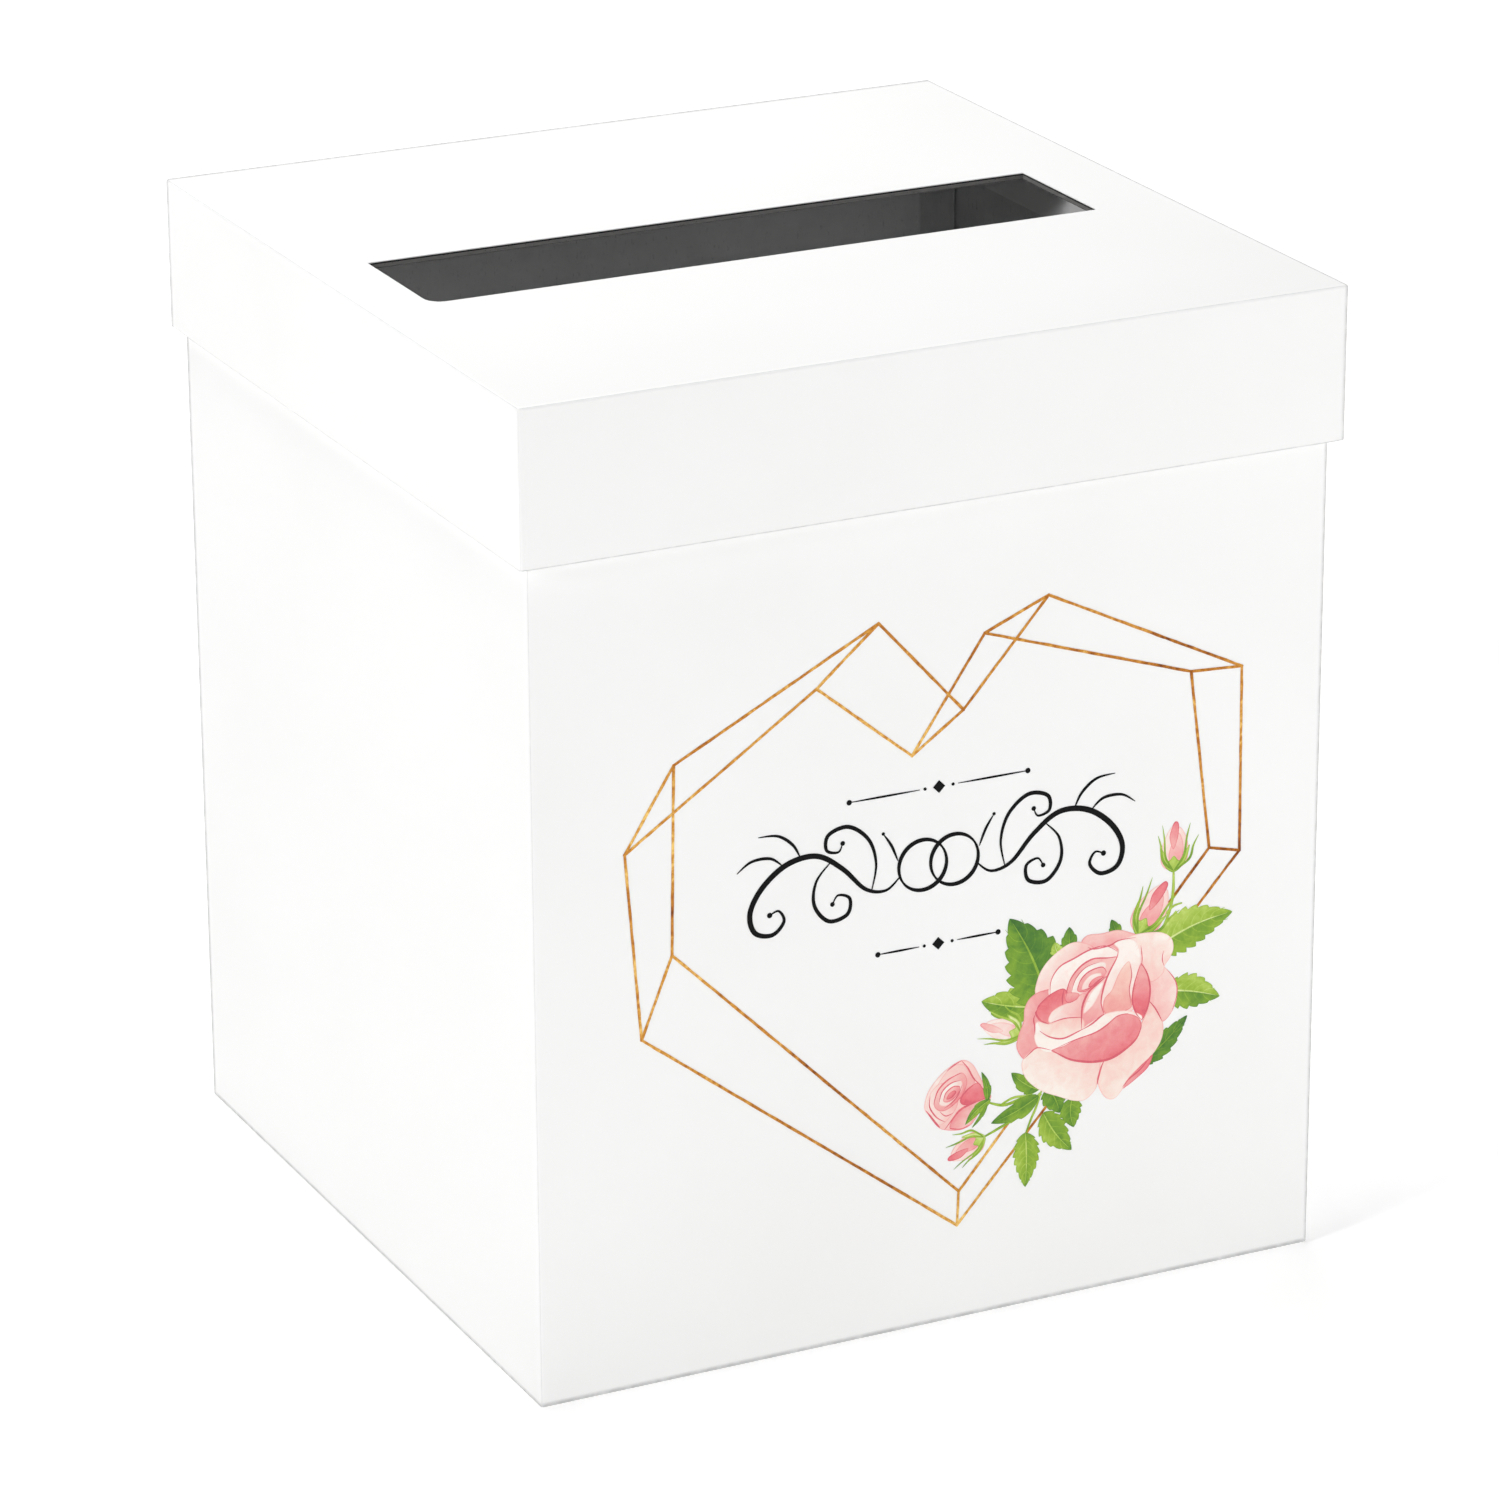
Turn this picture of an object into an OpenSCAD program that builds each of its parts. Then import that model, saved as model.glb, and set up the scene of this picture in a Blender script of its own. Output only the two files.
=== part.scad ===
// Wedding card box. A lift-off lid with a card slot sits over a tall square base. Each is a tray
// of greyboard panels held by paper corner stays, wrapped in white paper and lined in grey paper.
// Millimetres, +Z up. The origin is the middle of the underside, and the printed face looks along -Y.

/* [Box] */
// Outer width and depth of the lid
lid_w = 254; // [240:1:300]
// Height of the box with its lid on
box_h = 293.5; // [272:0.5:340]
// Depth of the lid's skirt
skirt_h = 45.5; // [30:0.5:60]
// How far the lid stands out past the base on each side
overhang = 3.4; // [3:0.1:6]
// Radius of the upright corners, outside the wrap
corner_r = 1; // [0.8:0.1:1.5]

/* [Board and paper] */
// Thickness of the greyboard panels
board_t = 1.5; // [1:0.1:2]
// Thickness of the white wrap with its glue
wrap_t = 0.3; // [0.25:0.05:0.4]
// Thickness of the grey lining
lining_t = 0.2; // [0.1:0.05:0.3]
// Thickness of the paper corner stays
stay_t = 0.1; // [0.05:0.01:0.12]
// Width of one leg of a corner stay
stay_leg = 20; // [12:1:30]
// How far the wrap is turned in over a rim
turn_in = 20; // [12:1:25]
// How far the base wrap is turned under the bottom
turn_under = 15; // [8:1:25]
// Thickness of the sheet pasted over the underside
bottom_sheet_t = 0.2; // [0.1:0.05:0.4]
// Margin that the underside sheet leaves along each edge
bottom_sheet_margin = 3; // [1:0.5:6]
// Width of the corner strip that the lid's front and back wraps leave bare
seam_w = 1.8; // [1:0.1:4]
// Depth of the step at the edge of an overlapping wrap
seam_step = 0.1; // [0.05:0.01:0.12]
// Width of the lap where the base wrap closes on the back
wrap_lap = 15; // [8:1:25]
// Width of the lap where the wall lining closes, beside the right back corner
lining_lap = 24; // [8:1:40]

/* [Card slot] */
// Length of the slot
slot_w = 210; // [150:1:220]
// Width of the slot
slot_d = 45; // [20:1:60]
// Middle of the slot, to the right of the lid's centre
slot_x = -3.5; // [-6:0.5:6]
// Middle of the slot, behind the lid's centre
slot_y = -5; // [-40:0.5:40]
// Radius of the slot's front left corner; the other three are square
slot_r = 5; // [1:0.5:8]

/* [Print] */
// Thickness of the foil and ink films on the front
print_t = 0.1; // [0.05:0.01:0.2]
// Width of the heart's foil lines
foil_w = 0.9; // [0.5:0.1:1.5]
// Width of the flower stems
stem_w = 0.9; // [0.5:0.1:1.5]
// Greatest width of the flourish's pen strokes
pen_w = 1.5; // [0.8:0.1:2.5]

/* [Hidden] */
$fn = 48;

white = [0.96, 0.96, 0.95];
greyboard = [0.51, 0.505, 0.50];
lining_grey = [0.86, 0.86, 0.86];
kraft = [0.72, 0.58, 0.42];
gold = [0.79, 0.56, 0.28];
pink = [0.95, 0.68, 0.68];
leaf_green = [0.46, 0.63, 0.27];
stem_green = [0.66, 0.78, 0.44];
ink = [0.05, 0.05, 0.05];

// Room left between the lid's lining and the base's rim, so that the two never share a face
rest_gap = 0.1;
// How far a cutting shape runs past the face that it opens
past = 1;

board_r = corner_r - wrap_t;
lid_board_w = lid_w - 2 * wrap_t;
lid_inner_w = lid_board_w - 2 * board_t;
lid_z = box_h - skirt_h;
lid_board_z = lid_z + wrap_t;
top_board_z = box_h - wrap_t - board_t;
lid_lining_z = top_board_z - lining_t;

base_w = lid_w - 2 * overhang;
base_board_w = base_w - 2 * wrap_t;
base_inner_w = base_board_w - 2 * board_t;
base_board_z = bottom_sheet_t + wrap_t;
floor_z = base_board_z + board_t;
rim_z = lid_lining_z - rest_gap;
base_board_h = rim_z - wrap_t - base_board_z;

// Quarter turns from the front left corner to each corner in the order of the stay nodes
FRONT_LEFT = 0;
FRONT_RIGHT = 90;
BACK_RIGHT = 180;
BACK_LEFT = 270;

// Corners of the faceted heart on the printed face: right of its middle, above the floor
heart = [
    [-18.5, 215.5], [-81, 184.5], [-96, 161], [-91.5, 105.5], [7, 29.5], [7.5, 40], [-82, 129],
    [-37.5, 199.5], [-8, 175], [8, 186], [14.5, 207.5], [34.5, 215.5], [97, 184.5],
    [80.5, 185.5], [97.5, 128.5], [87.5, 131]
];
// Which corners each foil line joins: the outline first, then the facets
heart_lines = [
    [0, 1], [1, 2], [2, 3], [3, 4], [4, 14], [14, 12], [12, 11], [11, 9], [9, 0],
    [0, 7], [7, 2], [7, 8], [8, 9], [8, 10], [10, 11], [10, 13], [12, 13], [13, 15], [14, 15],
    [15, 5], [4, 5], [1, 6], [6, 3], [6, 5]
];

// Width of the round dot where foil lines meet, in line widths
foil_dot = 1.2;

// Petal lobes as middle and radius
large_rose_lobes = [
    [52, 86, 20], [44, 101, 9.5], [57, 101, 10.5], [67.5, 99, 9], [68, 88, 9.5],
    [64, 75, 10], [58, 69, 9.5], [45, 71, 11], [38, 74, 9.5], [36, 84, 10]
];
small_rose_lobes = [[7, 69.5, 9], [11, 74, 6], [2.5, 65.5, 6], [11.5, 65, 6]];
// Leaves and buds as base, tip and width
leaf_shapes = [
    [[29.5, 95.5], [23.5, 119.5], 17], [[72, 103], [95.5, 110], 13], [[76, 88], [92, 84.5], 10],
    [[68, 69], [81, 80], 6.5], [[29, 92], [15, 97], 10.5], [[32.5, 64.5], [18, 59], 6.5],
    [[35, 66], [42, 56.5], 8], [[41.5, 62], [44.5, 52.5], 6.5], [[35, 59], [44, 45.5], 8.5],
    [[29, 53.5], [29, 37], 8.5], [[42, 107], [42.5, 115], 5], [[57.5, 108], [55.5, 114.5], 4],
    [[31, 68], [24.5, 73], 4.5]
];
bud_shapes = [
    [[76, 125], [76.5, 140.5], 9], [[65, 109], [73.5, 122.5], 10], [[16, 55], [4.5, 50.5], 7.5],
    [[27, 85], [15, 89.5], 6.5]
];
// Stems as the three control points of a curve
stem_curves = [
    [[76, 126], [75.5, 117], [71, 107]], [[15.5, 55], [23, 57], [33, 65]],
    [[17, 65.5], [25, 62], [33, 67]], [[29, 52], [31.5, 60], [34, 66]]
];

// Middle of the flourish, and the cubic curves of its right half, measured from that middle
flourish_middle = [0.5, 142];
flourish_strokes = [
    [[[11, -3], [20, -16], [29, 15], [42, 9]], [[42, 9], [53, 4], [66, -3], [59, -10]],
        [[59, -10], [53, -15], [45, -8], [51, -4]]],
    [[[20, -3], [24, 12], [37, 22], [41, 14]], [[41, 14], [43, 8], [34, 6], [34, 11]]],
    [[[31, 4], [38, -9], [30, -19], [24, -13]], [[24, -13], [21, -8], [29, -6], [29, -10]]]
];
ring_r = 7.5;
ring_offset = 5;
ring_w = 1;
// Height above the floor and half the length of the rules over and under the flourish
upper_rule = [164.5, 28];
lower_rule = [117.5, 19];
rule_w = 0.7;
rule_gap = 6;
diamond_r = 2.6;
dot_r = 0.8;

// Shared shapes

module rounded_square(w, r) {
    square([w - 2 * r, w], center = true);
    square([w, w - 2 * r], center = true);
    for (x = [-1, 1], y = [-1, 1])
        translate([x, y] * (w / 2 - r))
            circle(r);
}

module slab(z, h) {
    translate([0, 0, z])
        linear_extrude(h)
            children();
}

// A square frame between two outlines
module frame(outer_w, inner_w) {
    difference() {
        square(outer_w, center = true);
        square(inner_w, center = true);
    }
}

// The panel across the front of a tray that is w wide; its ends take the corner rounding
module full_panel(w) {
    intersection() {
        rounded_square(w, board_r);
        translate([-w / 2, -w / 2])
            square([w, board_t]);
    }
}

// The panel down the left of the tray, butted between the front and back ones
module short_panel(w) {
    translate([-w / 2, board_t - w / 2])
        square([board_t, w - 2 * board_t]);
}

// The paper angle over the outside of the front left corner
module stay(w) {
    intersection() {
        difference() {
            rounded_square(w + 2 * stay_t, board_r + stay_t);
            rounded_square(w, board_r);
        }
        translate([-w / 2 - stay_t, -w / 2 - stay_t])
            square(stay_leg);
    }
}

module slot_outline() {
    translate([slot_x - slot_w / 2, slot_y - slot_d / 2])
        difference() {
            square([slot_w, slot_d]);
            difference() {
                square(slot_r);
                translate([slot_r, slot_r])
                    circle(slot_r);
            }
        }
}

module cut_slot() {
    difference() {
        children();
        slab(lid_lining_z - past, box_h - lid_lining_z + 2 * past)
            slot_outline();
    }
}

// Lid

module lid_top_board() {
    color(greyboard)
        cut_slot()
            slab(top_board_z, board_t)
                rounded_square(lid_board_w, board_r);
}

module lid_full_board(turn) {
    color(greyboard)
        rotate(turn)
            slab(lid_board_z, top_board_z - lid_board_z)
                full_panel(lid_board_w);
}

module lid_short_board(turn) {
    color(greyboard)
        rotate(turn)
            slab(lid_board_z, top_board_z - lid_board_z)
                short_panel(lid_board_w);
}

module lid_stay(turn) {
    color(kraft)
        rotate(turn)
            slab(lid_board_z, top_board_z - lid_board_z)
                stay(lid_board_w);
}

module lid_lining() {
    color(lining_grey)
        cut_slot() {
            slab(lid_lining_z, lining_t)
                square(lid_inner_w, center = true);
            slab(lid_z + turn_in, lid_lining_z - lid_z - turn_in)
                frame(lid_inner_w, lid_inner_w - 2 * lining_t);
        }
}

// One sheet over the top, down the sides, round the rim and up the inside
module lid_wrap() {
    color(white)
        cut_slot()
            difference() {
                slab(lid_z, skirt_h)
                    rounded_square(lid_w, corner_r);
                slab(lid_z - past, turn_in + 2 * past)
                    square(lid_inner_w - 2 * wrap_t, center = true);
                slab(lid_z + turn_in, box_h - wrap_t - lid_z - turn_in)
                    rounded_square(lid_board_w, board_r);
                slab(lid_board_z, turn_in)
                    difference() {
                        rounded_square(lid_board_w, board_r);
                        square(lid_inner_w, center = true);
                    }
                for (turn = [FRONT_LEFT, FRONT_RIGHT, BACK_RIGHT, BACK_LEFT])
                    lid_stay(turn);
                corner_seams();
            }
}

// Steps where the front and back flaps stop short of the corners, over the side flaps' tabs
module corner_seams() {
    for (x = [-1, 1], y = [-1, 1])
        translate([x * (lid_w - seam_w) / 2, y * (lid_w / 2 + past - seam_step), lid_z + skirt_h / 2])
            cube([seam_w, 2 * past, skirt_h + past], center = true);
}

// Base

module base_bottom_board() {
    color(greyboard)
        slab(base_board_z, board_t)
            square(base_inner_w, center = true);
}

module base_full_board(turn) {
    color(greyboard)
        rotate(turn)
            slab(base_board_z, base_board_h)
                full_panel(base_board_w);
}

module base_short_board(turn) {
    color(greyboard)
        rotate(turn)
            slab(base_board_z, base_board_h)
                short_panel(base_board_w);
}

module base_stay(turn) {
    color(kraft)
        rotate(turn)
            slab(base_board_z, base_board_h)
                stay(base_board_w);
}

// Four walls of lining, with the lap on the right wall beside the back corner
module base_wall_lining() {
    bottom = floor_z + lining_t;
    wall_h = rim_z - turn_in - bottom;
    half = base_inner_w / 2 - lining_t;
    color(lining_grey) {
        slab(bottom, wall_h)
            frame(base_inner_w, base_inner_w - 2 * lining_t);
        slab(bottom, wall_h)
            translate([half - lining_t, half - lining_lap])
                square([lining_t, lining_lap]);
    }
}

module base_floor_lining() {
    color(lining_grey)
        slab(floor_z, lining_t)
            square(base_inner_w, center = true);
}

// A strip round the four walls, turned in over the rim and under the bottom, lapped on the back
module base_wrap() {
    color(white) {
        difference() {
            slab(bottom_sheet_t, rim_z - bottom_sheet_t)
                rounded_square(base_w, corner_r);
            slab(-past, base_board_z + 2 * past)
                square(base_w - 2 * turn_under, center = true);
            slab(base_board_z, rim_z - turn_in - base_board_z)
                rounded_square(base_board_w, board_r);
            slab(rim_z - turn_in - past, turn_in + 2 * past)
                square(base_inner_w - 2 * wrap_t, center = true);
            slab(rim_z - turn_in - past, turn_in + past - wrap_t)
                difference() {
                    rounded_square(base_board_w, board_r);
                    square(base_inner_w, center = true);
                }
            for (turn = [FRONT_LEFT, FRONT_RIGHT, BACK_RIGHT, BACK_LEFT])
                base_stay(turn);
        }
        slab(bottom_sheet_t, rim_z - bottom_sheet_t)
            translate([corner_r - base_w / 2, base_w / 2])
                square([wrap_lap, seam_step]);
    }
}

module base_bottom_sheet() {
    color(white)
        slab(0, bottom_sheet_t)
            square(base_w - 2 * bottom_sheet_margin, center = true);
}

// Print on the front of the base

// Lays a flat drawing, right and up from the middle of the front's foot, on the printed face
module on_front() {
    translate([0, -base_w / 2, 0])
        rotate([90, 0, 0])
            linear_extrude(print_t)
                children();
}

module line(from, to, w) {
    run = to - from;
    translate(from)
        rotate(atan2(run[1], run[0]))
            translate([0, -w / 2])
                square([norm(run), w]);
}

// A pointed oval from base to tip: the overlap of two circles
module pointed_oval(base, tip, w) {
    run = tip - base;
    arc_r = (run * run + w * w) / (4 * w);
    translate((base + tip) / 2)
        rotate(atan2(run[1], run[0]))
            intersection() {
                translate([0, arc_r - w / 2])
                    circle(arc_r, $fn = 96);
                translate([0, w / 2 - arc_r])
                    circle(arc_r, $fn = 96);
            }
}

// Points on a curve: a cubic from four control points, or a quadratic from three
function curve_at(p, t) =
    len(p) == 1 ? p[0] : curve_at([for (i = [1 : len(p) - 1]) p[i - 1] * (1 - t) + p[i] * t], t);
function slope_at(p, t) = curve_at([for (i = [1 : len(p) - 1]) p[i] - p[i - 1]], t);
function side_at(p, t, off) =
    let (s = slope_at(p, t)) curve_at(p, t) + off * [-s[1], s[0]] / norm(s);

// A stroke over a chain of curves, w wide in its middle and w * fine at its ends
module pen_stroke(curves, w, fine = 0.25) {
    steps = 12;
    last = len(curves) * steps;
    function half_w(i) = w / 2 * (fine + (1 - fine) * sin(180 * i / last));
    function piece(i) = min(floor(i / steps), len(curves) - 1);
    function edge(i, side) =
        side_at(curves[piece(i)], i / steps - piece(i), side * half_w(i));
    polygon([for (i = [0 : last]) edge(i, 1), for (i = [last : -1 : 0]) edge(i, -1)]);
}

module large_rose_shape() {
    for (lobe = large_rose_lobes)
        translate([lobe[0], lobe[1]])
            circle(lobe[2]);
}

module small_rose_shape() {
    for (lobe = small_rose_lobes)
        translate([lobe[0], lobe[1]])
            circle(lobe[2]);
}

module buds_shape() {
    for (bud = bud_shapes)
        pointed_oval(bud[0], bud[1], bud[2]);
}

module leaves_shape() {
    for (leaf = leaf_shapes)
        pointed_oval(leaf[0], leaf[1], leaf[2]);
}

module stems_shape() {
    for (curve = stem_curves)
        pen_stroke([curve], stem_w, 1);
}

module foil_heart() {
    color(gold)
        on_front()
            difference() {
                union() {
                    for (ends = heart_lines)
                        line(heart[ends[0]], heart[ends[1]], foil_w);
                    for (corner = heart)
                        translate(corner)
                            circle(foil_dot * foil_w / 2);
                }
                large_rose_shape();
                buds_shape();
                leaves_shape();
                stems_shape();
            }
}

module large_rose() {
    color(pink)
        on_front()
            large_rose_shape();
}

module small_rose() {
    color(pink)
        on_front()
            small_rose_shape();
}

module rose_buds() {
    color(pink)
        on_front()
            difference() {
                buds_shape();
                large_rose_shape();
            }
}

module leaves() {
    color(leaf_green)
        on_front()
            difference() {
                leaves_shape();
                large_rose_shape();
                small_rose_shape();
                buds_shape();
            }
}

module stems() {
    color(stem_green)
        on_front()
            difference() {
                stems_shape();
                large_rose_shape();
                small_rose_shape();
                buds_shape();
                leaves_shape();
            }
}

module ring_outline() {
    difference() {
        circle(ring_r);
        circle(ring_r - ring_w);
    }
}

// Two fine lines with a diamond between them and a dot at each far end
module rule(z, half_length) {
    translate([flourish_middle[0], z]) {
        rotate(45)
            square(diamond_r, center = true);
        for (side = [-1, 1]) {
            translate([side * (rule_gap + half_length) / 2, 0])
                square([half_length - rule_gap, rule_w], center = true);
            translate([side * half_length, 0])
                circle(dot_r);
        }
    }
}

module pen_flourish() {
    color(ink)
        on_front() {
            translate(flourish_middle) {
                for (side = [-1, 1])
                    translate([side * ring_offset, 0])
                        ring_outline();
                for (half = [0, 1])
                    mirror([half, 0])
                        for (stroke = flourish_strokes)
                            pen_stroke(stroke, pen_w);
            }
            rule(upper_rule[0], upper_rule[1]);
            rule(lower_rule[0], lower_rule[1]);
        }
}

lid_top_board();
lid_full_board(0);  // lid_front_board
lid_full_board(180);  // lid_back_board
lid_short_board(0);  // lid_left_board
lid_short_board(180);  // lid_right_board
lid_stay(FRONT_LEFT);  // lid_stay_front_left
lid_stay(FRONT_RIGHT);  // lid_stay_front_right
lid_stay(BACK_RIGHT);  // lid_stay_back_right
lid_stay(BACK_LEFT);  // lid_stay_back_left
lid_lining();
lid_wrap();
base_bottom_board();
base_full_board(0);  // base_front_board
base_full_board(180);  // base_back_board
base_short_board(0);  // base_left_board
base_short_board(180);  // base_right_board
base_stay(FRONT_LEFT);  // base_stay_front_left
base_stay(FRONT_RIGHT);  // base_stay_front_right
base_stay(BACK_RIGHT);  // base_stay_back_right
base_stay(BACK_LEFT);  // base_stay_back_left
base_wall_lining();
base_floor_lining();
base_wrap();
base_bottom_sheet();
foil_heart();
large_rose();
small_rose();
rose_buds();
leaves();
stems();
pen_flourish();
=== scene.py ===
"""Wedding card box: paper-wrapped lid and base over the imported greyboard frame, with a printed front."""

import math
import random

import bmesh
import bpy
import numpy as np
from mathutils import Matrix, Vector
from mathutils.geometry import delaunay_2d_cdt


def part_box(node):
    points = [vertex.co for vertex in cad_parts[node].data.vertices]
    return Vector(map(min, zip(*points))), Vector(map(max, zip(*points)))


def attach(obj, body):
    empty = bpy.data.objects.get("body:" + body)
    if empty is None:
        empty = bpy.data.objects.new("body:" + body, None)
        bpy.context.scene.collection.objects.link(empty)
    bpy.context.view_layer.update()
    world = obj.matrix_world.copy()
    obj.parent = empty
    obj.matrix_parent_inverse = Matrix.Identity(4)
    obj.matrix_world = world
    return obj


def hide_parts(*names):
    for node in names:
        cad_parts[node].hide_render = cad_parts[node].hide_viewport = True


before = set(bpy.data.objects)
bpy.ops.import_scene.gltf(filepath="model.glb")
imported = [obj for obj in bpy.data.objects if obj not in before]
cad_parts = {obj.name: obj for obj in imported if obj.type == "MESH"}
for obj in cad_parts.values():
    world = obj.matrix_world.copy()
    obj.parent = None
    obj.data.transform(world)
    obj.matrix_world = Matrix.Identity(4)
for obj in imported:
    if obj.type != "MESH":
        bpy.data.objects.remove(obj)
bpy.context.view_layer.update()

MM = 0.001

# ---------------- the frame's sizes, in metres

lid_lo, lid_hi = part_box("lid_wrap")
lid_board_lo, lid_board_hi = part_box("lid_top_board")
lid_front_lo, lid_front_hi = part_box("lid_front_board")
base_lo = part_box("base_wrap")[0]
base_hi = Vector((-base_lo.x, -base_lo.y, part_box("base_wrap")[1].z))
lining_lo, lining_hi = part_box("base_wall_lining")

BOARD = lid_front_hi.y - lid_front_lo.y
WRAP = lid_hi.z - lid_board_hi.z
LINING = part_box("base_floor_lining")[1].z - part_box("base_floor_lining")[0].z
WALL = BOARD + 2 * WRAP
TURN_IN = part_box("lid_lining")[0].z - lid_lo.z
FRONT_Y = base_lo.y


def slot_corners():
    """Lowest and highest corner of the card slot, from the rim of the hole in the lid's top board."""
    half = lid_board_hi.x - 5 * MM
    rim = [v.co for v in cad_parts["lid_top_board"].data.vertices if abs(v.co.x) < half]
    return [Vector((pick(p.x for p in rim), pick(p.y for p in rim), lid_hi.z)) for pick in (min, max)]


slot_lo, slot_hi = slot_corners()

# ---------------- camera, floor and light

# The camera fitted to the photograph: its turn in degrees, and in metres its distance and what it looks at
AZIMUTH, ELEVATION, ROLL = -25.95, 20.44, -0.3
CAMERA_DISTANCE = 1.934
CAMERA_TARGET = Vector((2.3 * MM, 0, 133.9 * MM))
LENS, SENSOR = 157.07, 36
LIGHT_TARGET = Vector((0, 0, 0.14))
FLOOR_HALF, FLOOR_DROP = 15, 0.1 * MM


def add_camera():
    """A long lens that looks down a little on the printed front and the left side."""
    azimuth, elevation, roll = (math.radians(a) for a in (AZIMUTH, ELEVATION, ROLL))
    level = math.cos(elevation)
    back = Vector((math.sin(azimuth) * level, -math.cos(azimuth) * level, math.sin(elevation)))
    camera = bpy.data.objects.new("camera", bpy.data.cameras.new("camera"))
    bpy.context.collection.objects.link(camera)
    camera.data.lens = LENS
    camera.data.sensor_width = SENSOR
    camera.data.clip_end = 20
    turn = back.to_track_quat("Z", "Y") @ Matrix.Rotation(roll, 3, "Z").to_quaternion()
    place = CAMERA_TARGET + CAMERA_DISTANCE * back
    camera.matrix_world = Matrix.Translation(place) @ turn.to_matrix().to_4x4()
    bpy.context.scene.camera = camera


def add_light(name, place, size, power):
    data = bpy.data.lights.new(name, "AREA")
    data.shape = "RECTANGLE"
    data.size, data.size_y = size
    data.energy = power
    light = bpy.data.objects.new(name, data)
    bpy.context.collection.objects.link(light)
    aim = LIGHT_TARGET - Vector(place)
    light.matrix_world = Matrix.Translation(place) @ aim.to_track_quat("-Z", "Y").to_matrix().to_4x4()


def add_world(strength):
    world = bpy.data.worlds.new("studio")
    world.use_nodes = True
    sky = world.node_tree.nodes["Background"]
    sky.inputs["Color"].default_value = (1, 1, 1, 1)
    sky.inputs["Strength"].default_value = strength
    bpy.context.scene.world = world


def add_floor(mat):
    mesh = bpy.data.meshes.new("floor")
    sides = ((-1, -1), (1, -1), (1, 1), (-1, 1))
    mesh.from_pydata([(x * FLOOR_HALF, y * FLOOR_HALF, -FLOOR_DROP) for x, y in sides], [], [(0, 1, 2, 3)])
    floor = bpy.data.objects.new("floor", mesh)
    bpy.context.collection.objects.link(floor)
    floor.data.materials.append(mat)


# ---------------- materials

# How much light the floor gives out near the object, and behind and far from it
NEAR_GLOW, FAR_GLOW = 0.34, 1.0
# Grey of the painted shade along the paper's folds
PAINTED_FOLD_SHADE_GREY = (0.54,) * 3


class Nodes:
    """A material under construction: add() makes a node and sets or links its inputs."""

    def __init__(self, name):
        self.mat = bpy.data.materials.new(name)
        self.mat.use_nodes = True
        self.tree = self.mat.node_tree
        self.shader = self.tree.nodes["Principled BSDF"]

    def put(self, socket, value):
        if isinstance(value, bpy.types.NodeSocket):
            self.tree.links.new(value, socket)
        else:
            socket.default_value = value

    def add(self, kind, inputs=(), **settings):
        node = self.tree.nodes.new("ShaderNode" + kind)
        for key, value in settings.items():
            setattr(node, key, value)
        for key, value in dict(inputs).items():
            self.put(node.inputs[key], value)
        return node

    def shade(self, **inputs):
        """Sets the shader's inputs; an underscore in a name stands for a space."""
        for key, value in inputs.items():
            self.put(self.shader.inputs[key.replace("_", " ")], value)

    def split(self, vector=None):
        """The X, Y and Z of a vector, or of the object coordinates."""
        vector = vector or self.add("TexCoord").outputs["Object"]
        return self.add("SeparateXYZ", {"Vector": vector}).outputs

    def place(self, scale=(1, 1, 1)):
        """Object coordinates, stretched by scale."""
        coords = self.add("TexCoord").outputs["Object"]
        return self.add("Mapping", {"Vector": coords, "Scale": scale}).outputs["Vector"]

    def noise(self, scale, detail=3.0, rough=0.5, at=None, distort=0.0):
        inputs = {"Vector": at or self.place(), "Scale": scale, "Detail": detail}
        inputs |= {"Roughness": rough, "Distortion": distort}
        return self.add("TexNoise", inputs).outputs["Fac"]

    def ramp(self, fac, stops):
        """A colour ramp over (position, colour) stops."""
        node = self.add("ValToRGB", {"Fac": fac})
        elements = node.color_ramp.elements
        while len(elements) < len(stops):
            elements.new(0.5)
        for element, (position, colour) in zip(elements, stops):
            element.position = position
            element.color = (*colour, 1)
        return node.outputs["Color"]

    def math(self, operation, a, b=0.0):
        node = self.add("Math", operation=operation)
        self.put(node.inputs[0], a)
        self.put(node.inputs[1], b)
        return node.outputs["Value"]

    def span(self, value, low, high, to_low=0.0, to_high=1.0):
        inputs = {"Value": value, "From Min": low, "From Max": high, "To Min": to_low, "To Max": to_high}
        return self.add("MapRange", inputs).outputs["Result"]

    def mix(self, fac, a, b, blend="MIX"):
        node = self.add("Mix", data_type="RGBA", blend_type=blend)
        self.put(node.inputs["Factor"], fac)
        for key, value in (("A", a), ("B", b)):
            socket = [s for s in node.inputs if s.name == key and s.type == "RGBA"][0]
            self.put(socket, value if isinstance(value, bpy.types.NodeSocket) else (*value, 1))
        return [s for s in node.outputs if s.type == "RGBA"][0]

    def bump(self, *layers):
        """Stacks height layers, each (height, distance in metres)."""
        normal = None
        for height, distance in layers:
            inputs = {"Height": height, "Distance": distance, "Strength": 1.0}
            if normal:
                inputs["Normal"] = normal
            normal = self.add("Bump", inputs).outputs["Normal"]
        return normal


def painted_fold_shade_mask(m, lo, hi, bottom_fade):
    """Mask of painted shade: 1 along the outer folds of the box lo to hi, fading out sooner beside those
    with a higher fade.
    """
    coords = m.split()
    fades = {"X": (2.0, 0.6), "Y": (2.0, 0.3), "Z": (bottom_fade, 2.5)}
    near = []
    for (axis, (low, high)), start, end in zip(fades.items(), lo, hi):
        from_low = m.math("MULTIPLY", m.math("SUBTRACT", coords[axis], start), low)
        from_high = m.math("MULTIPLY", m.math("SUBTRACT", end, coords[axis]), high)
        near.append(m.math("MINIMUM", from_low, from_high))
    x, y, z = near
    middle = m.math("MAXIMUM", m.math("MINIMUM", x, y), m.math("MINIMUM", m.math("MAXIMUM", x, y), z))
    return m.span(middle, 0.9 * MM, 0.35 * MM)


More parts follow.
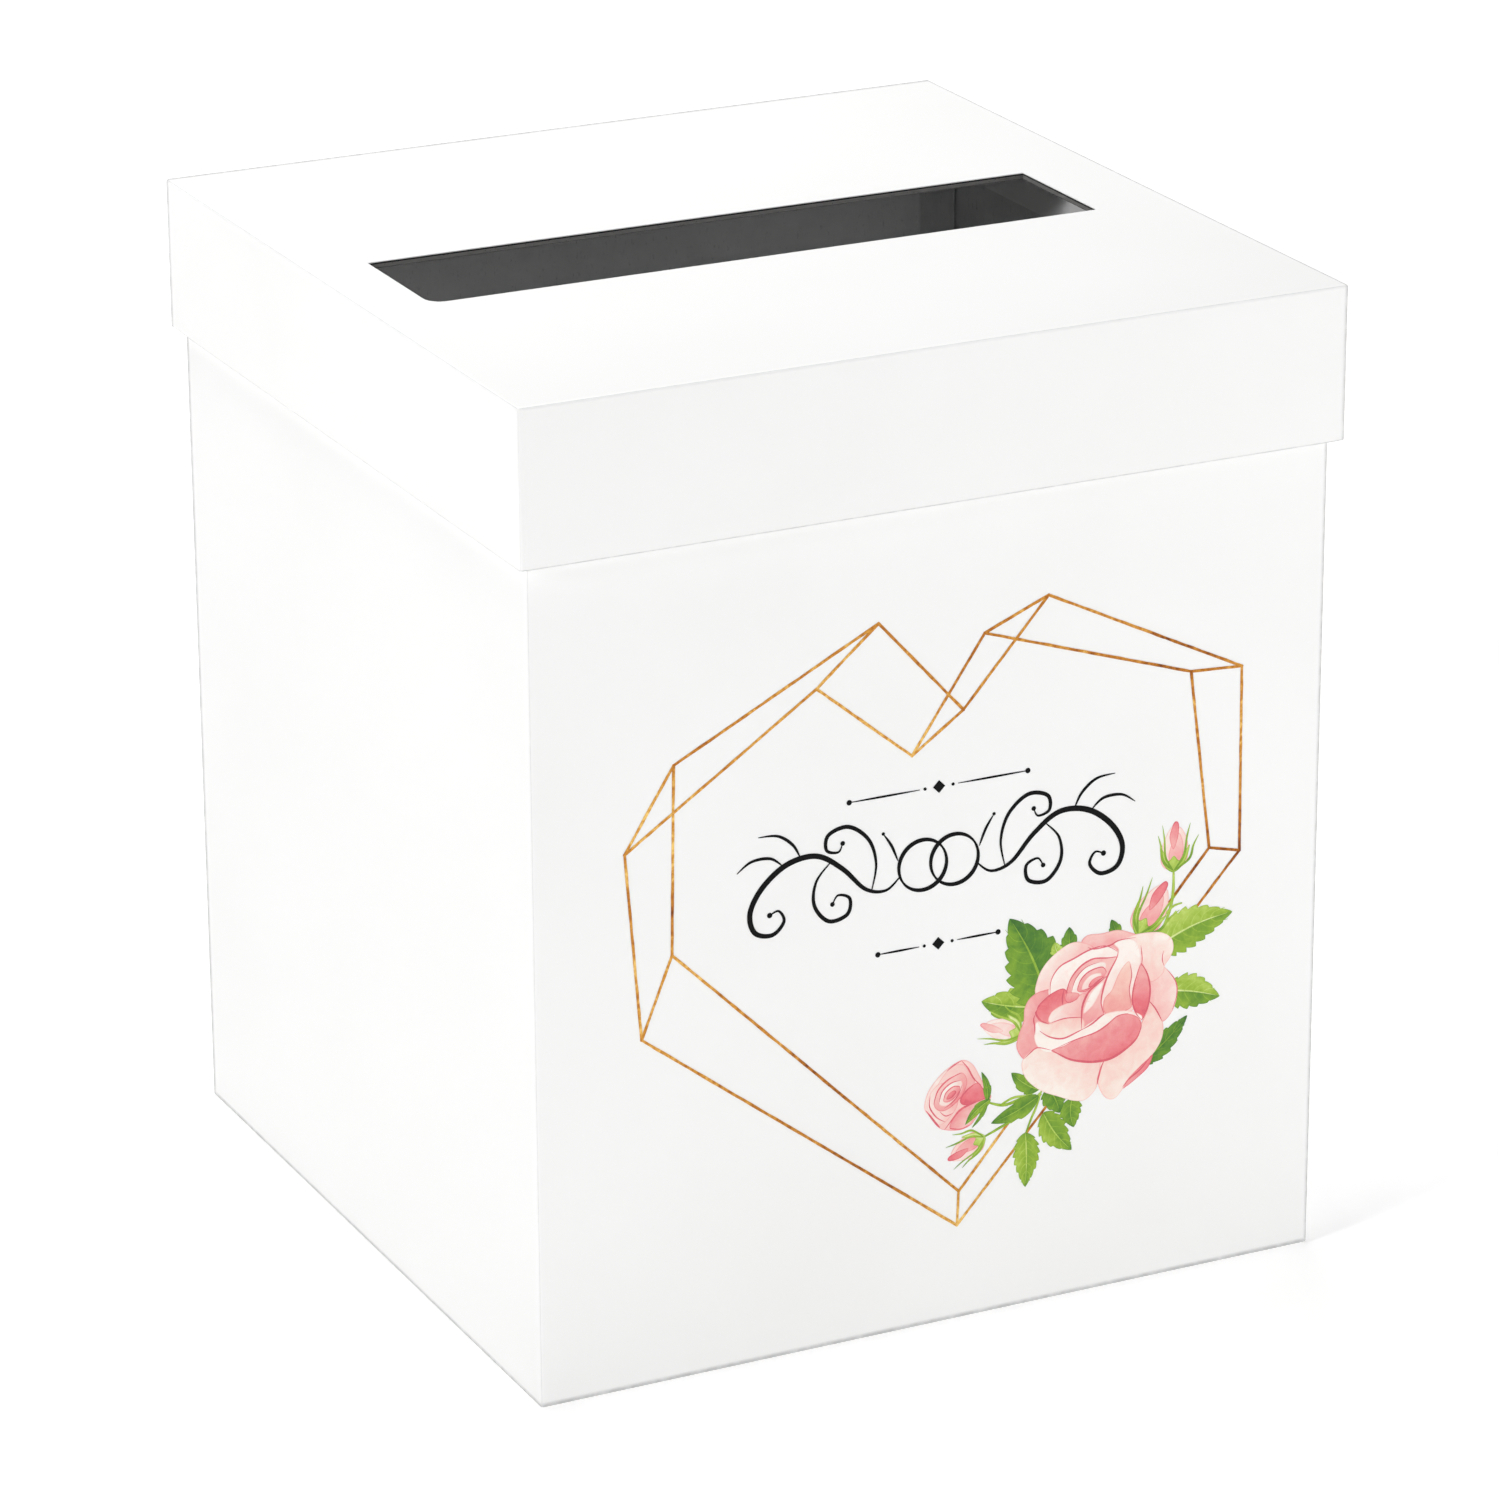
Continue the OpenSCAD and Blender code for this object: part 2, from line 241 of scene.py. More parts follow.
def white_paper(name, lo, hi, bottom_fade):
    """Smooth coated paper: faint fibres, a slow drift in tone, the board's ripple, and painted shade in
    patches along the folds, widest at the base's foot as a painted contact shadow.
    """
    m = Nodes(name)
    fibres = m.noise(2600, 4, 0.62)
    ripple = m.noise(55, 2, 0.4)
    drift = m.noise(14, 2)
    tone = m.ramp(m.math("ADD", m.math("MULTIPLY", fibres, 0.35), m.math("MULTIPLY", drift, 0.65)),
                  [(0.3, (0.925, 0.925, 0.918)), (0.7, (0.955, 0.955, 0.951))])
    # Painted shade along the folds, broken into patches by noise
    shade_patches = m.span(m.noise(300, 3), 0.3, 0.6, 0.6, 1.0)
    fold_shade = m.math("MULTIPLY", painted_fold_shade_mask(m, lo, hi, bottom_fade), shade_patches)
    tone = m.mix(fold_shade, tone, PAINTED_FOLD_SHADE_GREY)
    m.shade(
        Base_Color=tone,
        Roughness=m.span(fibres, 0.3, 0.7, 0.42, 0.54),
        Specular_IOR_Level=0.42,
        Normal=m.bump((ripple, 0.02 * MM), (fibres, 0.004 * MM)),
    )
    return m.mat


def punched_edge(m, low, high):
    """1 on upright faces between two heights: the band round the slot's cut rim, which the lining and board
    materials darken.
    """
    z = m.split()["Z"]
    facing = m.split(m.add("NewGeometry").outputs["Normal"])["Z"]
    upright = m.math("LESS_THAN", m.math("ABSOLUTE", facing), 0.5)
    band = m.math("MULTIPLY", m.math("GREATER_THAN", z, low), m.math("LESS_THAN", z, high))
    return m.math("MULTIPLY", band, upright)


def lining_paper():
    """Uncoated pale grey paper with short dark and light fibres."""
    m = Nodes("lining_paper")
    cloud = m.noise(120, 4, 0.6)
    flecks = m.noise(1100, 3, 0.7, at=m.place((1, 1, 0.35)))
    base = m.ramp(cloud, [(0.3, (0.76,) * 3), (0.7, (0.82,) * 3)])
    dark = m.span(flecks, 0.6, 0.72)
    light = m.span(flecks, 0.36, 0.28)
    tone = m.mix(m.math("MULTIPLY", dark, 0.5), base, (0.45,) * 3)
    tone = m.mix(m.math("MULTIPLY", light, 0.45), tone, (0.86, 0.86, 0.85))
    # The band round the slot's rim, darkened to dark grey
    tone = m.mix(punched_edge(m, lid_board_lo.z - LINING * 1.5, lid_board_lo.z), tone, (0.1,) * 3)
    m.shade(
        Base_Color=tone,
        Roughness=0.86,
        Specular_IOR_Level=0.25,
        Normal=m.bump((cloud, 0.03 * MM), (flecks, 0.015 * MM)),
    )
    return m.mat


def raw_greyboard():
    """Pulped board: long thin layers along its plane, dark and pale fibre flecks."""
    m = Nodes("raw_greyboard")
    layers = m.noise(900, 5, 0.7, at=m.place((0.25, 0.25, 3.2)))
    flecks = m.noise(1700, 2, 0.6)
    greys = [(0.25, (0.16, 0.157, 0.15)), (0.5, (0.22, 0.217, 0.21)), (0.8, (0.31, 0.305, 0.295))]
    tone = m.ramp(layers, greys)
    tone = m.mix(m.span(flecks, 0.64, 0.74), tone, (0.06,) * 3)
    # The band round the slot's rim, darkened nearly to black
    tone = m.mix(punched_edge(m, lid_board_hi.z - 0.45 * MM, lid_hi.z), tone, (0.02,) * 3)
    m.shade(
        Base_Color=tone,
        Roughness=0.93,
        Specular_IOR_Level=0.2,
        Normal=m.bump((layers, 0.06 * MM), (flecks, 0.03 * MM)),
    )
    return m.mat


def kraft_paper():
    """Brown paper with long fibres along its height and a few dark flecks."""
    m = Nodes("kraft_paper")
    streaks = m.noise(500, 5, 0.65, at=m.place((1, 1, 0.12)))
    flecks = m.noise(1900, 2, 0.6)
    tone = m.ramp(streaks, [(0.3, (0.36, 0.23, 0.12)), (0.7, (0.52, 0.36, 0.21))])
    tone = m.mix(m.span(flecks, 0.66, 0.76), tone, (0.22, 0.13, 0.06))
    m.shade(Base_Color=tone, Roughness=0.8, Normal=m.bump((streaks, 0.02 * MM), (flecks, 0.01 * MM)))
    return m.mat


def glowing_floor_paint():
    """Matt pale paint that gives out light of its own: a little near the object, and more behind it and far
    from it, so that the studio fades to white.
    """
    m = Nodes("glowing_floor_paint")
    grain = m.noise(90, 3)
    behind = m.split()["Y"]
    away = m.add("VectorMath", {"Vector": m.place((1, 0.4, 1))}, operation="LENGTH").outputs["Value"]
    glow = m.math("MAXIMUM", m.span(behind, 0.3, 1.2), m.span(away, 1.5, 3.0))
    m.shade(
        Base_Color=m.ramp(grain, [(0.3, (0.93,) * 3), (0.7, (0.95,) * 3)]),
        Roughness=0.85,
        Emission_Color=(1, 1, 1, 1),
        Emission_Strength=m.span(glow, 0, 1, NEAR_GLOW, FAR_GLOW),
    )
    return m.mat


# ---------------- wraps and lining

# Bends of the paper: round the upright corners, over the top, round the rims, and inside the corners
CORNER_R, EDGE_R, FOLD_R, INSIDE_R = 1.0 * MM, 0.8 * MM, 0.45 * MM, 0.25 * MM
CREASE_R = 0.9 * MM
# The slot's rounded front left corner, its other corners, and the crushed edge of its cut
SLOT_R, SLOT_SHARP_R, SLOT_CRISP = 5 * MM, 0.4 * MM, 0.08 * MM
# How far the top sheet of a lap stands proud, and how far a flap stops short of its corner
SEAM, SEAM_INSET, FLAP_TAPER = 0.1 * MM, 1.5 * MM, 0.6 * MM
SNIP = 2 * MM
TURN_UNDER = 15 * MM
WRAP_LAP, LINING_LAP = 15 * MM, 24 * MM
LAP_LIFT = 1.1 * MM
# The lining's lap lifts over this last share of its length, on a grid of LAP_ROWS rows
LAP_FREE, LAP_ROWS = 0.3, 24
# Corners nearer than this are one point, which leaves no collapsed face
SAME_POINT = 0.0002 * MM
SHARP_ANGLE = math.radians(40)


def add_piece(name, mesh, body, mat, replaces):
    piece = bpy.data.objects.new(name, mesh)
    bpy.context.collection.objects.link(piece)
    mesh.materials.append(mat)
    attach(piece, body)
    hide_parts(*replaces)


def loop(lo, hi, radii, z, notch=0.0, steps=6):
    """Points round an upright rectangle's outline, from its front left corner, anticlockwise from above.

    radii are for front left, front right, back right and back left. Two further points on each side
    stand notch away from its corners, or 1.5 radii where that is more. z is a height, or a function of
    the point's place on its side: 0 at a corner, 1 along the side between the notches."""
    height = z if callable(z) else lambda along: z
    corners = [(lo.x, lo.y), (hi.x, lo.y), (hi.x, hi.y), (lo.x, hi.y)]
    points = []
    for i, (x, y) in enumerate(corners):
        r = radii[i]
        centre = Vector((x + (r if x == lo.x else -r), y + (r if y == lo.y else -r)))
        start = math.pi + i * math.pi / 2
        for k in range(steps + 1):
            a = start + k / steps * math.pi / 2
            points.append((centre.x + r * math.cos(a), centre.y + r * math.sin(a), height(0)))
        to = Vector(corners[(i + 1) % 4])
        run = to - Vector((x, y))
        near, far = (max(notch, radii[k % 4] * 1.5) for k in (i, i + 1))
        for end in (near, run.length - far):
            p = Vector((x, y)) + run.normalized() * end
            points.append((p.x, p.y, height(1)))
    return points


def loft(bm, rings):
    """Joins a closed chain of equal rings into a closed skin."""
    rows = [[bm.verts.new(p) for p in ring] for ring in rings]
    count = len(rows[0])
    for a, b in zip(rows, rows[1:] + rows[:1]):
        for i in range(count):
            j = (i + 1) % count
            bm.faces.new((a[i], a[j], b[j], b[i]))


def finish_mesh(name, bm):
    """Smooth shading over the bends, and flat over the faces that are square to an axis."""
    bmesh.ops.remove_doubles(bm, verts=bm.verts, dist=SAME_POINT)
    bmesh.ops.recalc_face_normals(bm, faces=bm.faces)
    mesh = bpy.data.meshes.new(name)
    bm.to_mesh(mesh)
    bm.free()
    mesh.shade_smooth()
    mesh.set_sharp_from_angle(angle=SHARP_ANGLE)
    for face in mesh.polygons:
        face.use_smooth = max(abs(n) for n in face.normal) < 0.9999
    return mesh


def inset(lo, hi, by):
    """The rectangle lo to hi, drawn in on each side."""
    step = Vector((by, by, 0))
    return lo + step, hi - step


def quarter(steps=5):
    """(sine, cosine) pairs round a quarter turn."""
    turns = [k / steps * math.pi / 2 for k in range(steps + 1)]
    return [(math.sin(turn), math.cos(turn)) for turn in turns]


def corner_radii(inside_by):
    return [max(CORNER_R - inside_by, INSIDE_R)] * 4


def lid_wrap_mesh():
    """One sheet over the top, down the skirt, round the rim and up the inside, snipped at its corners."""
    lo, hi = lid_lo.copy(), lid_hi.copy()
    lo.y += SEAM
    hi.y -= SEAM
    slot_radii = [SLOT_R, SLOT_SHARP_R, SLOT_SHARP_R, SLOT_SHARP_R]

    def ring(by, z):
        return loop(*inset(lo, hi, by), corner_radii(by), z, SNIP)

    def slot_ring(by, z):
        return loop(*inset(slot_lo, slot_hi, -by), [r + by for r in slot_radii], z, SNIP)

    def turned(along):
        return lo.z + TURN_IN - (0 if along else SNIP)

    rings = [slot_ring(0, hi.z - WRAP), slot_ring(0, hi.z - SLOT_CRISP), slot_ring(SLOT_CRISP, hi.z)]
    rings += [ring(EDGE_R * (1 - s), hi.z - EDGE_R * (1 - c)) for s, c in quarter()]
    rings += [ring(FOLD_R * (1 - c), lo.z + FOLD_R * (1 - s)) for s, c in quarter()]
    rings += [ring(WALL - FOLD_R * (1 - s), lo.z + FOLD_R * (1 - c)) for s, c in quarter()]
    rings += [ring(WALL, turned), ring(WALL - WRAP, turned)]
    rings += [ring(WALL - WRAP, lo.z + WRAP), ring(WRAP, lo.z + WRAP), ring(WRAP, hi.z - WRAP)]
    bm = bmesh.new()
    loft(bm, rings)
    for side in (-1, 1):
        add_flap(bm, side)
    return finish_mesh("lid_wrap_paper", bm)


def add_flap(bm, side):
    """The front or back flap, laid over the side flaps' tabs; its cut edges stop short of the corners."""
    face_y = lid_hi.y
    top, bottom = lid_hi.z, lid_lo.z

    def outline(out):
        """The flap's run from the top edge to inside the rim, out metres proud of the sheet under it."""
        y = face_y - SEAM
        inner = y - WALL
        drop = out * 0.5
        run = [(y - EDGE_R * (1 - s) + out * s, top - EDGE_R * (1 - c)) for s, c in quarter()]
        for s, c in quarter():
            run.append((y - FOLD_R * (1 - c) + out * c, bottom + FOLD_R * (1 - s) - drop * s))
        for s, c in quarter():
            run.append((inner + FOLD_R * (1 - s) - out * s, bottom + FOLD_R * (1 - c) - drop * c))
        run.append((inner - out, bottom + TURN_IN - 1 * MM))
        return run

    outer, under = outline(SEAM), outline(-WRAP / 2)
    profile = outer + under[::-1]
    columns = []
    for end in (-1, 1):
        row = []
        for y, z in profile:
            down = (top - z) / (top - bottom)
            edge = lid_hi.x - SEAM_INSET - FLAP_TAPER * down
            if y < face_y - WALL + SEAM:
                edge -= WALL
            row.append(bm.verts.new((end * edge, side * y, z)))
        columns.append(row)
    left, right = columns
    count = len(profile)
    for i in range(count):
        j = (i + 1) % count
        bm.faces.new((left[i], left[j], right[j], right[i]))
    for row in columns:
        half = len(outer)
        for i in range(half - 1):
            bm.faces.new((row[i], row[i + 1], row[count - 2 - i], row[count - 1 - i]))


def base_wrap_mesh():
    """A strip round the four walls, turned in over the rim and under the bottom, snipped at its corners."""
    lo, hi = base_lo, base_hi

    def ring(by, z):
        return loop(*inset(lo, hi, by), corner_radii(by), z, SNIP)

    def turned(along):
        return hi.z - TURN_IN + (0 if along else SNIP)

    rings = [ring(TURN_UNDER, lo.z + WRAP), ring(TURN_UNDER, lo.z)]
    rings += [ring(FOLD_R * (1 - s), lo.z + FOLD_R * (1 - c)) for s, c in quarter()]
    rings += [ring(FOLD_R * (1 - c), hi.z - FOLD_R * (1 - s)) for s, c in quarter()]
    rings += [ring(WALL - FOLD_R * (1 - s), hi.z - FOLD_R * (1 - c)) for s, c in quarter()]
    rings += [ring(WALL, turned), ring(WALL - WRAP, turned)]
    rings += [ring(WALL - WRAP, hi.z - WRAP), ring(WRAP, hi.z - WRAP), ring(WRAP, lo.z + WRAP)]
    bm = bmesh.new()
    loft(bm, rings)
    add_back_lap(bm)
    return finish_mesh("base_wrap_paper", bm)


def shell(bm, front, back):
    """Closes two equal grids of points into a thin solid."""
    sheets = [[[bm.verts.new(p) for p in row] for row in grid] for grid in (front, back)]
    rows, columns = len(front), len(front[0])
    for grid in sheets:
        for i in range(rows - 1):
            for j in range(columns - 1):
                bm.faces.new((grid[i][j], grid[i][j + 1], grid[i + 1][j + 1], grid[i + 1][j]))
    rim = [(0, j) for j in range(columns)] + [(i, columns - 1) for i in range(1, rows)]
    rim += [(rows - 1, j) for j in range(columns - 2, -1, -1)] + [(i, 0) for i in range(rows - 2, 0, -1)]
    a, b = sheets
    for (i, j), (k, l) in zip(rim, rim[1:] + rim[:1]):
        bm.faces.new((a[i][j], a[k][l], b[k][l], b[i][j]))


def add_back_lap(bm):
    """The end of the base's covering strip, lapped on the back, where it fades into its corner."""
    start = base_lo.x + CORNER_R
    # Each column's place as a share of the lap, and how far out it stands as a share of SEAM
    columns = [(0, -0.1), (0.15, 0.4), (0.4, 0.9), (0.9, 1), (0.995, 1), (1, 0.85)]
    front = []
    for z in (base_lo.z + FOLD_R, base_hi.z - FOLD_R):
        front.append([(start + share * WRAP_LAP, base_hi.y + out * SEAM, z) for share, out in columns])
    back = [[(x, base_hi.y - WRAP / 2, z) for x, _, z in row] for row in front]
    shell(bm, front, back)


def wall_lining_mesh():
    """Paper creased round the four walls; the free edge of its lap, on the right, has lifted a little."""
    lo, hi = lining_lo, lining_hi
    crease = [CREASE_R] * 4
    inner = [c - LINING for c in crease]
    rings = [loop(lo, hi, crease, z) for z in (lo.z, hi.z)]
    rings += [loop(*inset(lo, hi, LINING), inner, z) for z in (hi.z, lo.z)]
    bm = bmesh.new()
    loft(bm, rings)
    face = hi.x - LINING
    far = hi.y - LINING - 0.7 * MM
    shares = (0, 0.3, 0.6, 0.75, 0.82, 0.88, 0.93, 0.97, 1)
    front, back = [], []
    for i in range(LAP_ROWS + 1):
        z = lo.z + (hi.z - lo.z) * i / LAP_ROWS
        lift = LAP_LIFT * (0.75 + 0.25 * math.sin(z / (31 * MM)))
        bow = [lift * max(0, (share - 1 + LAP_FREE) / LAP_FREE) ** 1.6 for share in shares]
        lap = [(far - share * LINING_LAP, out) for share, out in zip(shares, bow)]
        front.append([(face - LINING - out, y, z) for y, out in lap])
        back.append([(face - out, y, z) for y, out in lap])
    shell(bm, front, back)
    return finish_mesh("base_wall_lining_paper", bm)


# ---------------- printed films
#
# The drawing on the front is in millimetres: right of the front's middle, and up from its foot. In the
# tables of points, a path is a text of x,y pairs.
# Outlines are laid from the back to the front, then cut where they overlap, so that the films are
# thin closed solids side by side. Their colour attribute "paint" holds the depth of the pigment, how
# near a point is to the shape's edge, and how warm its hue is. Brush widths are in millimetres too.

FILM_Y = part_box("foil_heart")[0][1]
# Width of the dark rim where a wash dried
RIM_W = 0.35


def points_of(text):
    return np.array(text.replace(",", " ").split(), float).reshape(-1, 2)


def with_points(*rows):
    """The rows, with the text that each starts with turned into points."""
    return [(points_of(text), *rest) for text, *rest in rows]


def smooth_path(points, steps, closed=False):
    """A Catmull-Rom curve through the points."""
    points = np.array(points, float)
    n = len(points)
    t = (np.arange(steps) / steps)[:, None]
    path = []
    for i in range(n if closed else n - 1):
        if closed:
            a, b, c, d = (points[(i + k) % n] for k in (-1, 0, 1, 2))
        else:
            a, b, c, d = points[max(i - 1, 0)], points[i], points[i + 1], points[min(i + 2, n - 1)]
        cubic = (3 * b - a - 3 * c + d) * t**3
        square = (2 * a - 5 * b + 4 * c - d) * t**2
        path.append(0.5 * (2 * b + (c - a) * t + square + cubic))
    if not closed:
        path.append(points[-1:])
    return np.concatenate(path)


def stroke(path, width, fine=0.15, lean=1.0):
    """The outline of a brush stroke: width across at its middle, fine times that at its ends."""
    run = np.gradient(path, axis=0)
    run /= np.linalg.norm(run, axis=1)[:, None]
    side = np.stack([-run[:, 1], run[:, 0]], axis=1)
    t = np.linspace(0, 1, len(path)) ** lean
    half = (width / 2 * (fine + (1 - fine) * np.sin(math.pi * t)))[:, None]
    return np.concatenate([path + side * half, (path - side * half)[::-1]])


def edge_distance(points, outline):
    """How far each point is from the closed outline."""
    a, b = outline, np.roll(outline, -1, axis=0)
    run = b - a
    p = points[:, None, :]
    t = np.clip(((p - a) * run).sum(2) / np.maximum((run * run).sum(1), 1e-12), 0, 1)
    return np.sqrt(((p - (a + t[..., None] * run)) ** 2).sum(2)).min(1)


def inside(points, outline):
    """Which points the closed outline winds round."""
    a, b = outline, np.roll(outline, -1, axis=0)
    x, y = points[:, :1], points[:, 1:]
    turn = (b[:, 0] - a[:, 0]) * (y - a[:, 1]) - (x - a[:, 0]) * (b[:, 1] - a[:, 1])
    up = (a[:, 1] <= y) & (b[:, 1] > y) & (turn > 0)
    down = (a[:, 1] > y) & (b[:, 1] <= y) & (turn < 0)
    return up.sum(1) != down.sum(1)


def inner_ring(outline):
    """Points just inside the outline, where the dark rim of its wash ends."""
    run = np.roll(outline, -1, axis=0) - np.roll(outline, 1, axis=0)
    run /= np.maximum(np.linalg.norm(run, axis=1), 1e-9)[:, None]
    side = np.stack([-run[:, 1], run[:, 0]], axis=1) * RIM_W
    ring = np.concatenate([outline + side, outline - side])
    return ring[inside(ring, outline) & (edge_distance(ring, outline) > RIM_W * 0.9)]


class Drawing:
    """Shapes laid one over another, which come out as films that lie side by side."""

    def __init__(self):
        self.shapes = []

    def lay(self, film, outline, paint, rimmed=False):
        """Adds an outline in front of the others. paint(points, depths) gives their paint values."""
        self.shapes.append((film, np.array(outline, float), paint, rimmed))

    def cut(self):
        """Triangulates all the outlines together and gives each triangle to its frontmost shape."""
        points, edges = [], []
        count = 0
        for _, outline, _, _ in self.shapes:
            n = len(outline)
            edges += [(count + i, count + (i + 1) % n) for i in range(n)]
            points.append(outline)
            count += n
        points += [inner_ring(outline) for _, outline, _, rimmed in self.shapes if rimmed]
        points = [Vector(p) for p in np.concatenate(points)]
        flat, _, tris, *_ = delaunay_2d_cdt(points, edges, [], 0, 1e-4, False)
        flat, tris = np.array([tuple(p) for p in flat]), np.array(tris)
        middle = flat[tris].mean(axis=1)
        owner = np.full(len(tris), -1)
        for index in range(len(self.shapes) - 1, -1, -1):
            outline = self.shapes[index][1]
            near = (middle >= outline.min(axis=0)) & (middle <= outline.max(axis=0))
            free = np.flatnonzero(near.all(axis=1) & (owner < 0))
            owner[free[inside(middle[free], outline)]] = index
        return flat, tris, owner

    def meshes(self):
        """One mesh for each film, from the wrap's face outwards."""
        flat, tris, owner = self.cut()
        films = {}
        for index, (film, outline, paint, _) in enumerate(self.shapes):
            mine = tris[owner == index]
            if len(mine):
                corners = np.unique(mine)
                values = np.asarray(paint(flat[corners], edge_distance(flat[corners], outline)))
                look = dict(zip(corners.tolist(), np.clip(values, 0, 1).tolist()))
                films.setdefault(film, []).append((mine.tolist(), look))
        return {film: film_mesh(film, flat, parts) for film, parts in films.items()}


def film_mesh(name, flat, parts):
    """A closed thin solid over the parts, each a list of triangles and the paint at their corners."""
    used = sorted({i for tris, _ in parts for tri in tris for i in tri})
    place = {i: k for k, i in enumerate(used)}
    count = len(used)
    faces, colours, sides = [], [], {}
    for tris, look in parts:
        for a, b, c in tris:
            (ax, ay), (bx, by), (cx, cy) = flat[a], flat[b], flat[c]
            if (bx - ax) * (cy - ay) - (by - ay) * (cx - ax) < 0:
                b, c = c, b
            faces.append((place[a], place[b], place[c]))
            faces.append((place[c] + count, place[b] + count, place[a] + count))
            colours += [look[a], look[b], look[c], look[c], look[b], look[a]]
            for i, j in ((a, b), (b, c), (c, a)):
                if (j, i) in sides:
                    del sides[(j, i)]
                else:
                    sides[(i, j)] = (look[i], look[j])
    for (i, j), (tone_i, tone_j) in sides.items():
        faces.append((place[j], place[i], place[i] + count, place[j] + count))
        colours += [tone_j, tone_i, tone_i, tone_j]
    verts = [(flat[i][0] * MM, y, flat[i][1] * MM) for y in (FILM_Y, FRONT_Y) for i in used]
    mesh = bpy.data.meshes.new(name)
    mesh.from_pydata(verts, [], faces)
    layer = mesh.color_attributes.new("paint", "FLOAT_COLOR", "CORNER")
    layer.data.foreach_set("color", np.array([(*c, 1.0) for c in colours]).ravel())
    bm = bmesh.new()
    bm.from_mesh(mesh)
    bmesh.ops.remove_doubles(bm, verts=bm.verts, dist=SAME_POINT)
    bm.to_mesh(mesh)
    bm.free()
    mesh.shade_flat()
    return mesh


def even(value):
    """The same depth of pigment all over a shape."""
    return lambda points, depth: np.tile((value, 0.0, 0.0), (len(points), 1))


def wash(outline, tone, light, contrast=0.3, warm=0.0, rim=0.5):
    """A petal or leaf: paler towards the direction light, in degrees, and darker along its edge."""
    way = np.array((math.cos(math.radians(light)), math.sin(math.radians(light))))
    low, high = (outline @ way).min(), (outline @ way).max()

    def paint(points, depth):
        flow = (points @ way - low) / (high - low)
        edge = np.maximum(0, 1 - depth / RIM_W) * rim
        return np.stack([tone + contrast * (0.5 - flow), edge, np.full(len(points), warm)], axis=1)

    return paint


def lay_petals(drawing, film, petals):
    for points, *look in petals:
        outline = smooth_path(points, 7, True)
        drawing.lay(film, outline, wash(outline, *look), True)


def lay_creases(drawing, film, creases, value):
    for points, width in creases:
        drawing.lay(film, stroke(smooth_path(points, 6), width), even(value))


